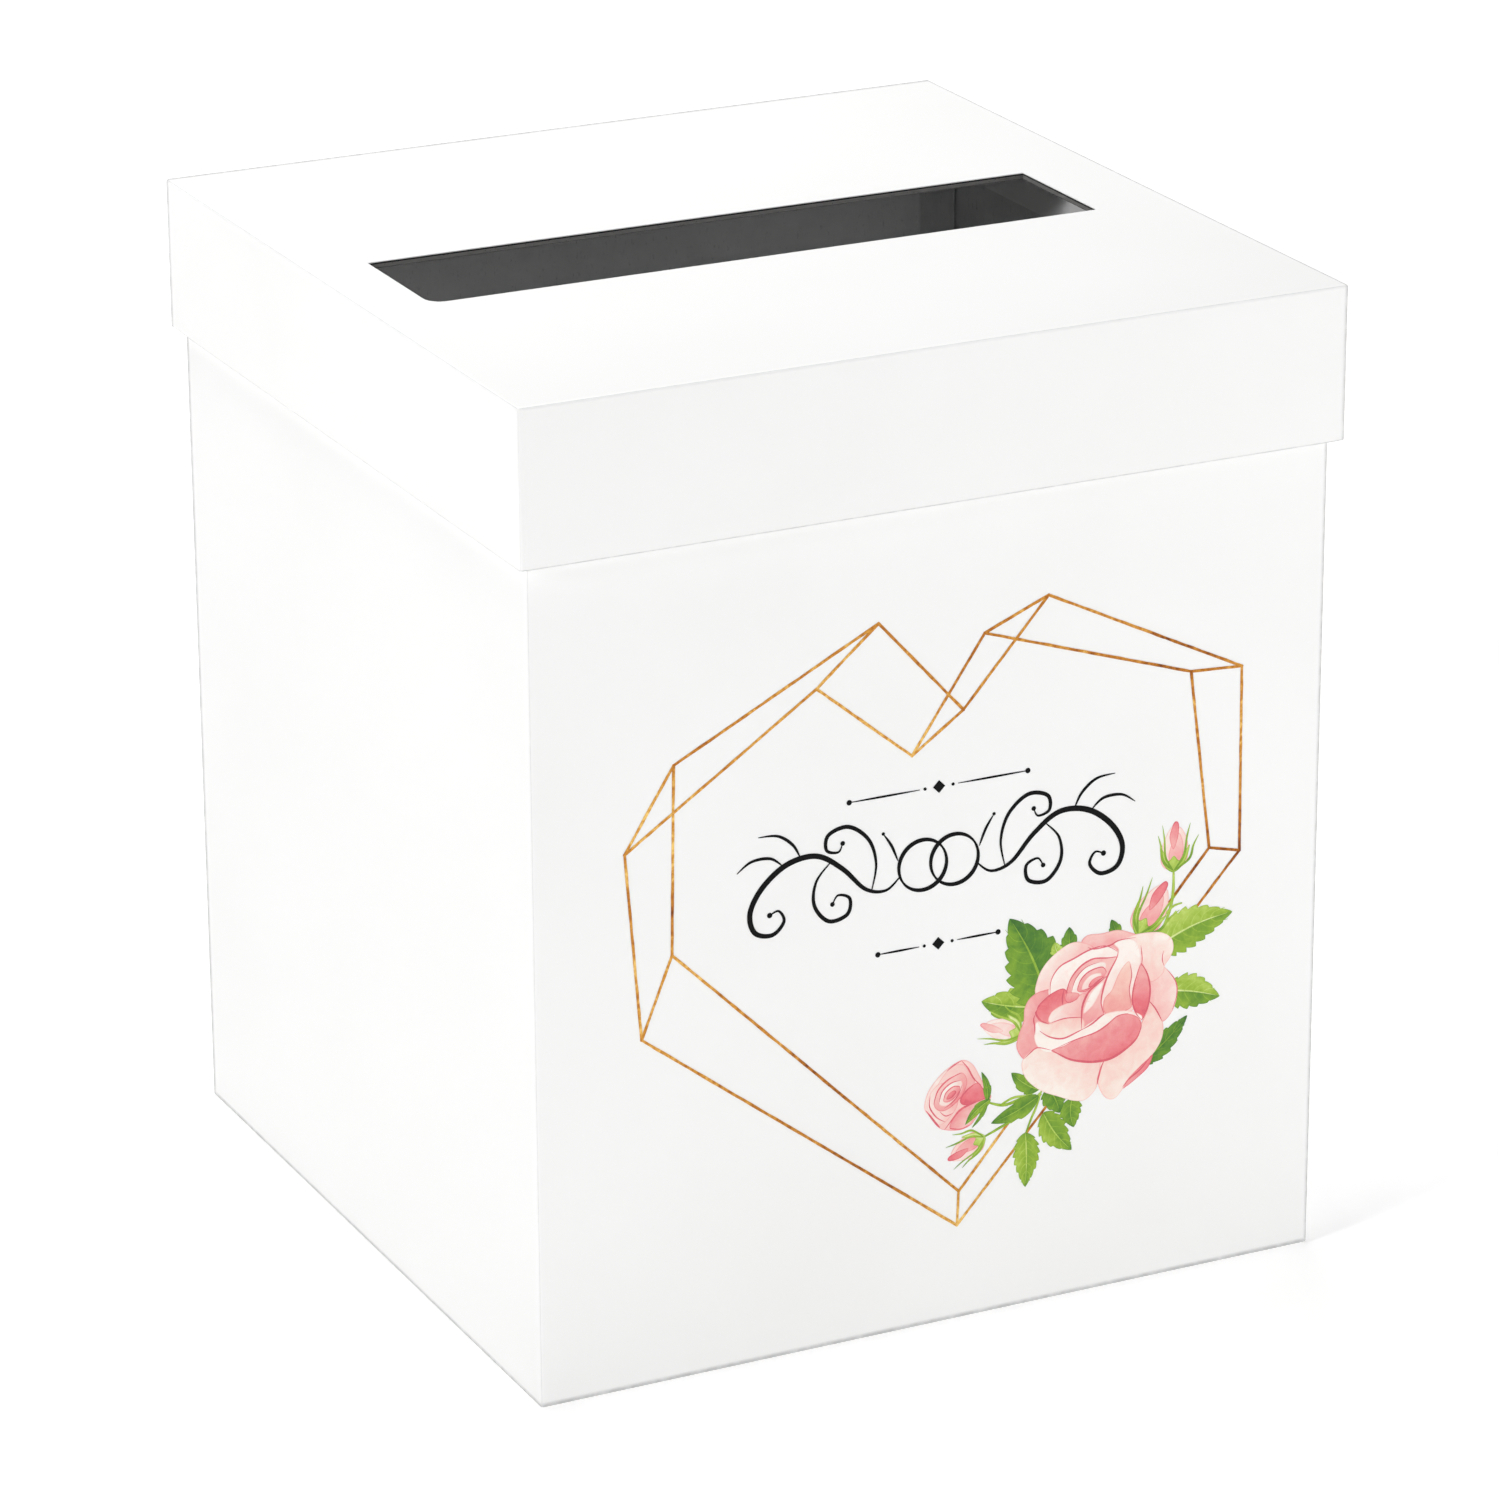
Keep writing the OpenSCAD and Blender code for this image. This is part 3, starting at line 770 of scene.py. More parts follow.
# Each petal: its outline, depth of colour, the direction of its pale lip in degrees, then where they
# differ its contrast and warmth. From the outermost petal at the back to the innermost in front.
LARGE_ROSE = with_points(
    ("46.4,109.5 48.5,111.2 53,110.9 58,111.1 62.5,109.4 66,107.2 60,105 52,104.5 48,107", 0.5, 90, 0.25),
    ("70,99.5 74.6,95.8 77.6,91.5 77.9,87 76.4,82.6 73.3,79.9 70.5,82 67,87 66,95", 0.36, 20, 0.35),
    ("58,106.5 62,108.4 67,108.6 72.4,107.7 75.7,105.3 76.4,102 75.2,99.2 73.6,97.2 73.2,95 69.5,93 "
     "65,95 61,101", 0.2, 50, 0.35, 0.25),
    ("31.8,96 32.4,101 34.8,104.9 38.4,107.8 42.8,109.8 46.8,109.3 50.5,106.6 48,101 41,99 37,94",
     0.34, 135, 0.55, 0.1),
    ("34,96.9 30,95.4 28.2,92.4 27.9,88.5 26.3,84.5 25.9,80.5 28.4,76.7 31,78.5 35,80 37,87 41,96",
     0.66, 170, 0.35),
    ("28,77 31.4,79.3 37,79.5 44,76 54,74 54.4,70.4 52.3,67 51.8,63.4 48.4,60.5 44.4,60.9 39.6,63.1 "
     "34,65.9 29.4,70 27.6,74", 0.17, 235, 0.35, 0.3),
    ("60.2,61.6 62,64.5 67,68 70.2,70.5 68.9,66.8 65.4,64.1 61.8,62", 0.74, 200, 0.2),
    ("53.8,73 60,74.5 65,79 68,84 68.6,87.2 71.2,84.2 73.4,79.6 73.2,75 70.6,70.8 66.4,67.6 "
     "62.3,64.3 60.2,61 57.5,58.9 54.6,60.1 52.4,64.5 52.7,69", 0.24, 300, 0.3, 0.35),
    ("36.4,94.5 36.7,99.5 39.4,103.2 44,104.9 49,106.6 54.2,106.9 58.2,104.4 60,98 54,92 44,91",
     0.14, 110, 0.35),
    ("41.6,93.5 42.7,98.2 45.8,101.8 50,103.6 54.8,103.1 58.3,102.6 56.4,97.5 52,93 46,91", 0.52, 60, 0.2),
    ("31.9,90.4 33.2,92.9 36.6,95.4 41,96.2 42.6,92 40,87.5 36,86 33.4,87.8", 0.8, 300, 0.25, 0.2),
    ("43.2,94.2 44.6,98.4 47.8,101.4 52.4,102.3 54.6,101 52.5,97.5 49,94.6 45.6,93.2", 0.12, 120, 0.3),
    ("45.2,94.8 46.2,97.8 49,100 53.2,100.6 54.6,98.6 51.5,96 48,94", 0.6, 100, 0.25),
    ("46.6,94.9 47.4,97.1 49.6,98.8 52.6,98.9 52.8,97.6 50.2,96 48.2,94.6", 0.16, 110, 0.3),
    ("48.8,95.4 49.8,97.1 51.8,97.9 53.6,97.6 52.4,96.4 50.4,95.2", 0.72, 90, 0.3),
    ("36.3,86.6 36.7,89.4 39.4,91 43.4,91.9 47.4,93.6 50,90 49,85 42,85.5", 0.36, 170, 0.5),
    ("41.4,94.6 44,94.5 45.9,93.6 45,92.1 42.6,91.5 41.3,92.6", 0.66, 90, 0.3),
    ("57,107.2 61,107.9 64.2,106.3 65.7,102 65.6,97 64.6,91 63.6,85.5 58,84.5 53.9,85.5 53,89.5 "
     "53.8,94.5 55.6,98.6 57.9,102.4 58.4,105", 0.12, 110, 0.35),
    ("60.3,99.8 62.1,100.6 62.9,96.8 62.3,92 63,86.5 58,85.4 54.2,86.2 53.9,90.3 56.4,92.9 58.2,96.8",
     0.42, 95, 0.35, 0.8),
    ("46.7,86.8 47.1,90.2 48.9,93.6 51.8,95.7 55,97.6 53.9,93.4 53.2,89.8 53.9,85.8 50,83.6 "
     "46.9,82.4", 0.5, 70, 0.4),
    ("47.3,87.3 48.2,90.7 50.4,94 53.6,95.9 52.2,92.2 50.2,89.2", 0.06, 90, 0.2),
    ("65.8,99.4 67.9,96 69,91 68.4,85.6 66.4,81.7 64.4,84.4 63.2,88.6 63.9,94", 0.76, 85, 0.55),
    ("32.2,87.6 36.3,86.4 41.4,87 46.9,86.2 47.4,82.5 43.5,80.5 38,79.5 34,82", 0.2, 250, 0.35, 0.4),
    ("31.7,86.6 32.6,87.4 34.2,84.4 37.2,82 40.8,81 45.6,82.2 50,84.3 54.8,86 60,85.9 64.6,84.4 "
     "66.4,82 60,79 50,76 37,77.2 33,79.4 31.5,82.6", 0.03, 250, 0.12, 0.1),
    ("37,77.9 41.2,78.6 46,80.1 51,80.6 54.8,82.2 58,84.3 61.6,84.6 65.2,82.8 66.4,79.8 64.8,76.4 "
     "61.2,73.8 56.4,71.8 50.4,71.9 44.2,73.6 40.2,75.8", 0.72, 110, 0.3),
)
# Creases and shaded edges, as a path and its greatest width
LARGE_ROSE_LINES = with_points(
    ("37.2,78 40.4,75.6 44.2,73.5 50.4,71.8 56.4,71.7 61.3,73.7 64.9,76.4 66.4,80", 0.75),
    ("38,78.1 44,79.6 51,80.7 55,82.4 58.4,84.5 62,84.7", 0.4),
    ("46.8,82.4 50,83.6 52.8,85.3 54.4,86", 0.55),
    ("46.8,82.6 46.7,86.8 47.1,90.2 48.9,93.6 51.8,95.7 55,97.6", 0.7),
    ("54,86 53,89.5 53.8,94.5 55.6,98.6 57.9,102.6 58.3,104.6", 0.55),
    ("65.8,99.4 67.9,96 69,91 68.4,85.6 66.4,81.7", 0.55),
    ("65.8,99 63.9,94 63.2,88.6 64.4,84.4 66.4,81.7", 0.45),
    ("32,91 31.9,90.2 33.4,87.8 36.2,86.2", 0.6),
    ("32.2,91.4 33.2,92.9 36.6,95.4", 0.4),
    ("41,96.2 40.4,93.5 40.6,91.1", 0.5),
    ("36.4,94.5 36.7,99.5 39.4,103.2 44,104.9 49,106.6 54.2,106.9 58.2,104.4", 0.5),
    ("41.6,93.5 42.7,98.2 45.8,101.8 50,103.6 54.8,103.1 58,102.8", 0.55),
    ("43.2,94.2 44.6,98.4 47.8,101.4 52.4,102.3", 0.3),
    ("45.2,94.8 46.2,97.8 49,100 53.2,100.6 54.6,98.6", 0.4),
    ("46.6,94.6 49.4,94.9 52,96.6 54.4,97.6", 0.45),
    ("33,84.8 36.4,82.2 40.8,80.9 45.6,82.1 47.2,82.6", 0.5),
    ("36.3,86.4 41.4,87 46.9,86.2", 0.35),
    ("48.4,107.6 50.4,106.6 55.6,106.8 58.6,107.8 64,107.7", 0.45),
    ("62.2,99.9 62.9,96.4 62.2,92 62.8,87", 0.3),
    ("65.7,105 66.2,101 66,98.6", 0.35),
    ("68.8,87.2 71,84.2 73.2,80", 0.45),
    ("28.3,77 30.4,78.6 32.6,79.6 37,78", 0.4),
    ("31.6,83.6 31.6,86 31.2,88.4 31.6,90", 0.45),
    ("54.3,71.6 53.3,69.4 52.5,66.6 52.1,64.4", 0.6),
    ("60.4,61.9 62.6,64.2 66.4,66.6 69.8,70.2", 0.5),
    ("73.4,97.2 72.8,99.6 73.2,102", 0.3),
    ("74.4,96 77.4,91.6 77.8,87.4 76.4,83", 0.4),
)

SMALL_ROSE = with_points(
    ("8.2,80.4 11.6,78.6 13.9,74.6 16,70.4 17.7,67.2 14.6,64 11.4,60 7.4,59 3,59.9 0.8,61.2 "
     "-1.6,64.9 -3.6,67.6 -2.8,72 -0.4,75.4 3.2,78.4", 0.34, 150, 0.4),
    ("3.4,77.9 7.9,79.4 10.6,76.6 12.4,72.8 9,69 3,69 -0.4,72", 0.44, 120, 0.4),
    ("-2.9,68.6 -1.4,72.6 1.6,74.6 6,73 7,67 3.4,62.6 0.6,62 -1.6,65.4", 0.3, 190, 0.4),
    ("-0.7,68.6 0.6,72.4 3.8,75.2 8.2,76.6 10,73.4 8,69 4,66.2 1,66.2", 0.54, 130, 0.3),
    ("0.9,68.6 2,71.9 4.8,74 8,74.3 8.4,71.4 6,68.6 3,67.2", 0.16, 130, 0.3),
    ("2.4,68.9 3.2,71.3 5.6,72.8 7.7,72.4 6.9,70 4.4,68.4", 0.58, 130, 0.3),
    ("3.4,69.3 4.2,70.9 5.8,71.6 6.5,70.9 5.2,69.5", 0.85, 130, 0.2),
    ("7.7,68.3 9.8,70.8 12.9,72.5 14.6,71.2 16.2,67.6 13,66.6 9,66.4", 0.86, 80, 0.25),
    ("4.4,60.3 6.4,64 10.2,66 14.4,66.7 13.6,63.6 11,60.2 7.6,59.2", 0.56, 330, 0.35),
)
SMALL_ROSE_LINES = with_points(
    ("8.1,80.3 10.2,77.6 12.1,74 14.4,71.6", 0.5),
    ("3.4,77.9 5.6,79.3 8.2,80.3", 0.4),
    ("-0.7,68.4 0.6,72.4 3.8,75.2 8.2,76.6", 0.55),
    ("0.9,68.2 2,71.9 4.8,74 8,74.3", 0.45),
    ("2.4,68.9 3.2,71.3 5.6,72.8 7.7,72.4", 0.4),
    ("2.6,66.6 5.2,68 7.3,70.2 8.4,73", 0.4),
    ("-3.2,67.2 -1.4,64.6 0.6,61.8 1.4,61", 0.6),
    ("-1.8,71.4 -2,68 0.2,64.4 3,62.4", 0.45),
    ("1.2,66 3.2,64.2 5.8,64.8", 0.35),
    ("2.8,60 5.2,62.6 7.8,65.2 11.6,66.4 16.4,67.2", 0.65),
    ("7.7,68.3 9.8,70.8 12.9,72.6", 0.5),
    ("4.4,60.2 8,59.2 11,60", 0.4),
)


def along_axis(base, tip):
    """Turns a place along and across a bud, as shares of its length, into a point of the drawing."""
    base, tip = np.array(base, float), np.array(tip, float)
    run = tip - base
    side = np.array((-run[1], run[0]))
    return lambda along, across: base + run * along + side * across


def bud_petals(base, tip, width, tone):
    """A closed bud: two outer petals, its heart and a furled petal. width is a share of its length."""
    at = along_axis(base, tip)
    w = width / 2
    left = [(0.02, 0), (0.12, 0.8 * w), (0.4, w), (0.7, 0.72 * w), (0.93, 0.25 * w), (0.8, 0),
            (0.4, -0.3 * w)]
    right = [(0.02, 0), (0.4, 0.1 * w), (0.78, 0.06 * w), (0.9, -0.3 * w), (0.66, -0.82 * w), (0.36, -w),
             (0.12, -0.8 * w)]
    heart = [(0, 0.02), (0.3, 0.42 * w), (0.6, 0.2 * w), (0.78, -0.25 * w), (0.5, -0.62 * w),
             (0.2, -0.5 * w)]
    furl = [(0.45, 0.1 * w), (0.72, 0.42 * w), (1, 0.12 * w), (0.97, -0.2 * w), (0.7, -0.2 * w)]
    way = math.degrees(math.atan2(tip[1] - base[1], tip[0] - base[0]))
    looks = ((left, 0.35, way), (right, 0.5, way), (heart, 0.8, way), (furl, 1.1, way + 180))
    return [([at(*p) for p in points], tone * share, light) for points, share, light in looks]


# Buds as base, tip, width as a share of the length, and depth of colour
BUDS = [
    ((76, 126), (76.5, 140.6), 0.62, 0.62),
    ((64.8, 108.5), (73.6, 122.8), 0.64, 0.76),
    ((15.6, 55.2), (4.2, 50.4), 0.6, 0.7),
    ((27.4, 84.8), (14.4, 90), 0.5, 0.34),
]
# The cup that clasps each bud, as places along and across it, and the sepals that spring from it: how
# far along the bud they reach, how far out to the side, and their width
CUP = points_of(
    "-0.03,0 0.03,0.13 0.18,0.25 0.36,0.31 0.54,0.32 0.36,0.21 0.22,0.12 0.31,0.01 0.2,-0.11 "
    "0.34,-0.21 0.5,-0.33 0.34,-0.31 0.17,-0.25 0.03,-0.13"
)
SEPALS = [(0.78, 0.31, 0.055), (0.98, 0.24, 0.045), (0.95, -0.26, 0.055), (0.68, -0.42, 0.05)]


def lay_sepals(drawing, base, tip, pale):
    at = along_axis(base, tip)
    size = math.dist(base, tip)
    outline = smooth_path([at(*p) for p in CUP], 5, True)
    drawing.lay("sepal_ink", outline, wash(outline, 0.2 - pale, 90, rim=1.0), True)
    for reach, out, width in SEPALS:
        path = [at(0, 0), at(reach * 0.3, out * 0.8), at(reach * 0.7, out), at(reach, out * 1.25)]
        outline = stroke(smooth_path(path, 8), width * size, 0.05, 0.7)
        drawing.lay("sepal_ink", outline, wash(outline, 0.38 - pale, 90))


# Leaves as base, tip, width, sideways bend, teeth on each edge, and the depth of colour of the halves
# to the left and the right of the midrib, from the back to the front
LEAVES = [
    ((33, 92), (14.4, 97.2), 11.5, 0.5, 5, 0.58, 0.36),
    ((36, 91), (23.2, 120.8), 19.5, -1.5, 8, 0.66, 0.8),
    ((70, 103), (95.6, 110), 13.5, 1.5, 8, 0.3, 0.52),
    ((74, 89.5), (92, 84.4), 11, 0.6, 6, 0.34, 0.62),
    ((66, 68), (81.4, 80.4), 7.5, -0.8, 6, 0.74, 0.8),
    ((33.2, 64.6), (17.8, 59), 6.2, 0.7, 2, 0.6, 0.66),
    ((44, 62), (44.6, 52.6), 7.5, -0.8, 5, 0.6, 0.66),
    ((36, 66.5), (40, 58), 8.2, 0.6, 4, 0.76, 0.7),
    ((34.6, 59), (44, 45.6), 8.8, -0.8, 6, 0.58, 0.46),
    ((28.9, 54), (29, 37), 8.6, 0.4, 7, 0.5, 0.42),
    ((43, 107), (42.4, 114.8), 5.5, 0.3, 3, 0.7, 0.74),
    ((58, 108), (56, 114.6), 4.4, -0.3, 3, 0.8, 0.76),
    ((33, 66.5), (24.2, 73.4), 5.6, 0.6, 3, 0.66, 0.58),
    ((39, 107), (37.6, 111), 4.0, 0.2, 2, 0.26, 0.22),
]
# The small rose's own sepals, which lie over its petals
SMALL_ROSE_SEPALS = [
    ((16.6, 66), (14.6, 75.6), 2.6, -0.7, 2, 0.6, 0.7),
    ((17.6, 66.6), (9.4, 60.2), 3.4, -0.7, 2, 0.5, 0.66),
    ((16.6, 65.4), (11.6, 58.8), 1.4, 0.4, 2, 0.6, 0.6),
]


def lay_leaf(drawing, base, tip, width, bend, teeth, left_tone, right_tone):
    """A toothed leaf: two halves of different depth, a pale midrib and side veins."""
    base, tip = np.array(base, float), np.array(tip, float)
    run = tip - base
    side = np.array((-run[1], run[0])) / np.linalg.norm(run)
    angle = math.degrees(math.atan2(run[1], run[0]))

    def rib(t):
        t = np.asarray(t, float)[..., None]
        return base + run * t + side * bend * np.sin(math.pi * t)

    def half_width(t):
        tooth = 1 - (t * teeth % 1)
        return width / 2 * np.sin(math.pi * t**0.72) ** 0.85 * (1.04 - 0.2 * tooth**1.5)

    along = np.linspace(0, 1, 10 * teeth + 1)
    middle = np.linspace(1, 0, 13)[1:-1]
    for sign, tone in ((1, left_tone), (-1, right_tone)):
        edge = rib(along) + side * sign * half_width(along)[:, None]
        outline = np.concatenate([edge, rib(middle)])
        drawing.lay("leaf_ink", outline, wash(outline, tone, angle + 90 * sign, 0.22), True)
    midrib = stroke(rib(np.linspace(0, 0.94, 13)), width * 0.035 + 0.1, 0.1, 0.6)
    drawing.lay("leaf_ink", midrib, even(min(left_tone, right_tone) - 0.2))
    for t in np.linspace(0, 0.85, max(2, teeth - 1), endpoint=False)[1:]:
        for sign in (1, -1):
            bow = rib(t + 0.06) + side * sign * half_width(t) * 0.35
            end = rib(min(t + 0.2, 0.97)) + side * sign * half_width(t + 0.12) * 0.7
            tone = (left_tone if sign > 0 else right_tone) - 0.09
            drawing.lay("leaf_ink", stroke(smooth_path([rib(t), bow, end], 4), 0.24, 0.3), even(tone))


# Stems as a path and its width
STEMS = with_points(
    ("76,126.5 76,120 75,114 72,107", 0.9),
    ("70.5,109.5 72.5,112 76,115 79,115.6", 0.7),
    ("15.6,55.3 20,56.9 27,59.8 34,65", 0.8),
    ("17,65.6 22,63.9 28,65 34,67", 0.9),
    ("20.5,64 25,65.6 30,65.2", 0.7),
    ("29,53.6 30.6,57.6 32.4,61.4 34,66", 0.7),
    ("24,58 28,60.4 33.6,65.4", 0.9),
)

# The faceted heart's corners, and which of them each run of foil lines joins
HEART = points_of(
    "-18.5,215.5 -81,184.5 -96,161 -91.5,105.5 7,29.5 7.5,40 -82,129 -37.5,199.5 -8,175 8,186 "
    "14.5,207.5 34.5,215.5 97,184.5 80.5,185.5 97.5,128.5 87.5,131"
)
HEART_PATHS = [
    (0, 1, 2, 3, 4, 14, 12, 11, 9, 0, 7, 2), (7, 8, 9), (8, 10, 11), (10, 13), (12, 13, 15), (14, 15, 5),
    (4, 5), (1, 6, 3), (6, 5),
]
FOIL_W = 0.85


def lay_foil_line(drawing, start, end, rand):
    """One foil line, its edges a little uneven, running just past both its corners."""
    length = np.linalg.norm(end - start)
    along = (end - start) / length
    side = np.array((-along[1], along[0]))
    reach = FOIL_W * 0.3
    count = max(3, round(length / 3))
    left, right = [], []
    for i in range(count + 1):
        p = start + along * (i / count * (length + 2 * reach) - reach)
        half = FOIL_W / 2 * rand.uniform(0.86, 1.1)
        drift = rand.uniform(-0.04, 0.04)
        left.append(p + side * (drift + half))
        right.append(p + side * (drift - half))
    drawing.lay("foil_heart_lines", left + right[::-1], even(0.5))


FLOURISH_MIDDLE = (0.5, 142)
# The right half's pen strokes, from the middle: a path, the stroke's greatest width and its end dot
FLOURISH = with_points(
    ("12,-2.2 16.6,-5.6 23,-4 30,3.2 38,8.4 47,7.6 54.6,2.2 58.6,-4.8 57.2,-11 51.8,-12.6 48.2,-9.2 "
     "49.8,-5.8 52.6,-6.6", 1.7, 0.8),
    ("21,-5 19.6,3 22,10.6 28.2,15.4 34.4,14 35,9.6 31.4,8.4 30,10.8", 1.2, 0.7),
    ("33.6,6 38.2,0.8 38.8,-6.2 34.4,-11.6 28.6,-10.6 27.8,-6 31.4,-4.4 33.2,-6.8", 1.2, 0.7),
    ("43,8.6 45.4,13 50,16.4 56,17", 0.9, 0),
    ("48.6,7.4 52.4,10.2 58.2,10.2 62.6,7.4", 0.9, 0),
    ("12.8,2.6 14.8,7.4 17.4,11.4", 0.8, 0.5),
)
RING_R, RING_W, RING_OFFSET = 7.5, 1.0, 5.0
# The rules over and under the flourish: height and half length
RULES = [(164.5, 28), (117.5, 19)]
RULE_W, RULE_GAP, DIAMOND_R, DOT_R = 0.6, 6, 1.9, 0.8


def disc(x, z, radius, count=24):
    turn = np.linspace(0, 2 * math.pi, count, endpoint=False)
    return np.stack([x + radius * np.cos(turn), z + radius * np.sin(turn)], axis=1)


def lay_ring(drawing, x, z):
    """A wedding band drawn as two half turns of the pen, thicker at its sides."""
    for start in (0.6, 0.6 + math.pi):
        turn = np.linspace(start, start + math.pi, 25)
        arc = np.stack([x + RING_R * np.cos(turn), z + RING_R * np.sin(turn)], axis=1)
        drawing.lay("pen_flourish_ink", stroke(arc, RING_W * 1.3, 0.45), even(0.5))


def lay_flourish(drawing):
    ink = "pen_flourish_ink"
    x0, z0 = FLOURISH_MIDDLE
    for side in (-1, 1):
        lay_ring(drawing, x0 + side * RING_OFFSET, z0)
        for points, width, dot in FLOURISH:
            path = smooth_path([(x0 + x * side, z0 + z) for x, z in points], 8)
            drawing.lay(ink, stroke(path, width, 0.2, 0.9), even(0.5))
            if dot:
                drawing.lay(ink, disc(*path[-1], dot), even(0.5))
        for z, half in RULES:
            line = [(x0 + side * (RULE_GAP + (half - RULE_GAP) * i / 8), z) for i in range(9)]
            drawing.lay(ink, stroke(np.array(line), RULE_W, 0.3), even(0.5))
            drawing.lay(ink, disc(x0 + side * half, z, DOT_R), even(0.5))
            drawing.lay(ink, disc(x0 + side * (RULE_GAP - 1.6), z, DOT_R * 0.6), even(0.5))
    for z, _ in RULES:
        drawing.lay(ink, disc(x0, z, DIAMOND_R, 4), even(0.5))


def watercolour(name, stops, warm_tint, blot=0.16, edge=0.55):
    """Transparent pigment on white paper: it pools at the edges and mottles where the wash dried."""
    m = Nodes(name)
    paint = m.add("Attribute", attribute_name="paint").outputs["Color"]
    parts = m.add("SeparateColor", {"Color": paint})
    depth, rim, warm = (parts.outputs[c] for c in ("Red", "Green", "Blue"))
    wash = m.noise(210, 4, 0.6, distort=0.8)
    grain = m.noise(1500, 3, 0.6)
    value = m.math("ADD", depth, m.math("MULTIPLY", m.math("SUBTRACT", wash, 0.5), blot * 2.2))
    value = m.math("ADD", value, m.math("MULTIPLY", m.math("SUBTRACT", grain, 0.5), blot * 0.5))
    value = m.math("ADD", value, m.math("MULTIPLY", rim, edge))
    tone = m.ramp(value, stops)
    tone = m.mix(m.math("MULTIPLY", warm, 0.6), tone, warm_tint, "MULTIPLY")
    m.shade(
        Base_Color=tone,
        Roughness=m.span(grain, 0.3, 0.7, 0.44, 0.56),
        Specular_IOR_Level=0.4,
        Normal=m.bump((grain, 0.003 * MM)),
    )
    return m.mat


def foil():
    """Stamped gold foil: broken up into dark and bright grains along the line."""
    m = Nodes("gold_foil")
    flakes = m.noise(620, 4, 0.65)
    drift = m.noise(26, 2)
    value = m.math("ADD", m.math("MULTIPLY", flakes, 0.45), m.math("MULTIPLY", drift, 0.55))
    tone = m.ramp(value, [(0.38, (0.19, 0.045, 0.006)), (0.46, (0.44, 0.155, 0.02)),
                          (0.54, (0.6, 0.28, 0.045)), (0.64, (0.86, 0.58, 0.18))])
    m.shade(
        Base_Color=tone,
        Metallic=0.75,
        Roughness=m.span(flakes, 0.35, 0.65, 0.5, 0.28),
        Normal=m.bump((flakes, 0.02 * MM)),
    )
    return m.mat


def black_ink():
    m = Nodes("black_ink")
    grain = m.noise(1300, 3, 0.6)
    m.shade(
        Base_Color=m.ramp(grain, [(0.35, (0.003,) * 3), (0.7, (0.009, 0.009, 0.0095))]),
        Roughness=m.span(grain, 0.3, 0.7, 0.5, 0.7),
        Specular_IOR_Level=0.08,
        Normal=m.bump((grain, 0.003 * MM)),
    )
    return m.mat


def hexes(text):
    """Ramp stops from pairs of a position and an sRGB hex colour, turned to linear colour."""
    stops = []
    for pair in text.split(", "):
        position, code = pair.split()
        parts = [int(code[i : i + 2], 16) / 255 for i in (0, 2, 4)]
        linear = [c / 12.92 if c <= 0.04045 else ((c + 0.055) / 1.055) ** 2.4 for c in parts]
        stops.append((float(position), linear))
    return stops


def front_drawing():
    """The whole print, from the back to the front."""
    drawing = Drawing()
    rand = random.Random(5)
    for path in HEART_PATHS:
        for a, b in zip(path, path[1:]):
            lay_foil_line(drawing, HEART[a], HEART[b], rand)
    for corner in HEART:
        drawing.lay("foil_heart_lines", disc(*corner, FOIL_W * 0.55, 12), even(0.5))
    for points, width in STEMS:
        outline = stroke(smooth_path(points, 8), width, 0.6)
        drawing.lay("stem_ink", outline, wash(outline, 0.3, 90), True)
    for leaf in LEAVES:
        lay_leaf(drawing, *leaf)
    for bud in BUDS:
        lay_petals(drawing, "bud_ink", bud_petals(*bud))
        lay_sepals(drawing, *bud[:2], 0.12 if bud[3] < 0.5 else 0)
    lay_petals(drawing, "small_rose_ink", SMALL_ROSE)
    lay_creases(drawing, "small_rose_ink", SMALL_ROSE_LINES, 0.98)
    for leaf in SMALL_ROSE_SEPALS:
        lay_leaf(drawing, *leaf)
    lay_petals(drawing, "large_rose_ink", LARGE_ROSE)
    lay_creases(drawing, "large_rose_ink", LARGE_ROSE_LINES, 1.0)
    lay_flourish(drawing)
    return drawing


ROSE_STOPS = hexes("0 FFF5EE, 0.15 FCE5DD, 0.35 FACDC6, 0.55 F5AFAC, 0.75 F08E92, 0.92 EA6F7A, 1 DC5C6C")
LEAF_STOPS = hexes("0 E0EBA6, 0.2 BBD35F, 0.4 99BA35, 0.6 78A124, 0.8 53871F, 1 33691C")


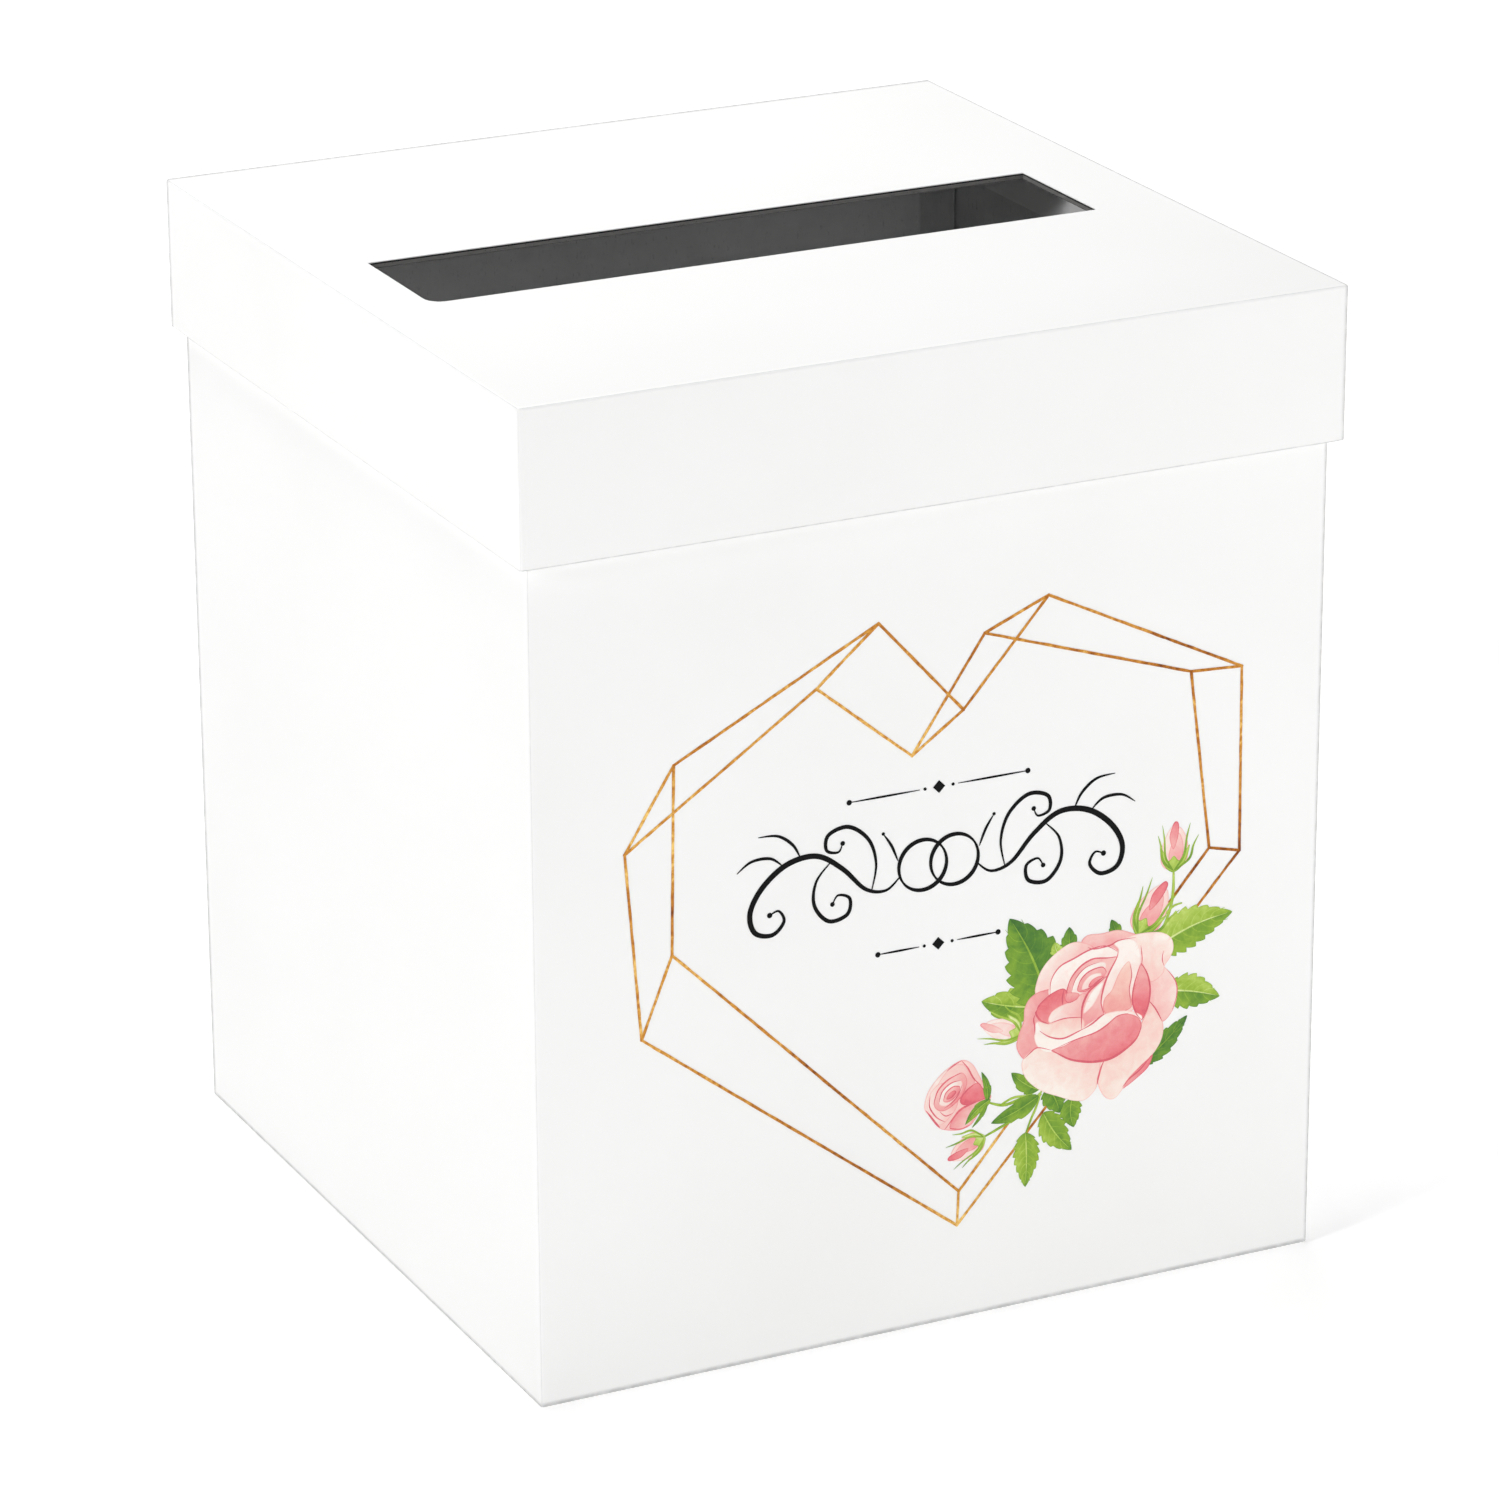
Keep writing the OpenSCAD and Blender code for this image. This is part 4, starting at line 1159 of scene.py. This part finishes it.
def add_print():
    rose = watercolour("rose_watercolour", ROSE_STOPS, (1.0, 0.93, 0.8), 0.2)
    green = watercolour("leaf_watercolour", LEAF_STOPS, (1, 1, 1), 0.28, 0.3)
    # Each film: the record's slot, its material and the CAD node that it stands for
    films = {
        "foil_heart_lines": ("gold_foil", foil(), "foil_heart"),
        "stem_ink": ("stem_ink", green, "stems"),
        "leaf_ink": ("leaf_ink", green, "leaves"),
        "bud_ink": ("rose_ink", rose, "rose_buds"),
        "sepal_ink": ("stem_ink", green, "stems"),
        "small_rose_ink": ("rose_ink", rose, "small_rose"),
        "large_rose_ink": ("rose_ink", rose, "large_rose"),
        "pen_flourish_ink": ("black_ink", black_ink(), "pen_flourish"),
    }
    meshes = front_drawing().meshes()
    for name, (slot, mat, node) in films.items():
        add_piece(name, meshes[name], "base", mat, [node])


lid_white = white_paper("lid_white_paper", lid_lo, lid_hi, 1.6)
base_white = white_paper("base_white_paper", base_lo, base_hi, 0.5)
grey = lining_paper()
board = raw_greyboard()
kraft = kraft_paper()

add_camera()
add_world(0.06)
add_floor(glowing_floor_paint())
add_light("key", (-2.05, -0.62, 1.1), (0.4, 0.4), 19.9)
add_light("top", (-0.05, 0.3, 1.3), (0.9, 0.9), 12.8)
add_light("front", (-0.3, -1.87, 0.84), (0.4, 0.4), 3.5)
add_light("low", (0.1, -1.6, 0.05), (0.8, 0.1), 1.3)
add_light("fill", (1.3, -0.9, 0.45), (0.8, 0.8), 8.8)

mats = {"board": board, "stay": kraft, "lining": grey}
for node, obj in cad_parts.items():
    mat = next((mats[word] for word in mats if word in node), base_white)
    obj.data.materials.clear()
    obj.data.materials.append(mat)

add_piece("lid_wrap_paper", lid_wrap_mesh(), "lid", lid_white, ["lid_wrap"])
add_piece("base_wrap_paper", base_wrap_mesh(), "base", base_white, ["base_wrap"])
add_piece("base_wall_lining_paper", wall_lining_mesh(), "base", grey, ["base_wall_lining"])
add_print()

scene = bpy.context.scene
scene.view_settings.view_transform = "Standard"
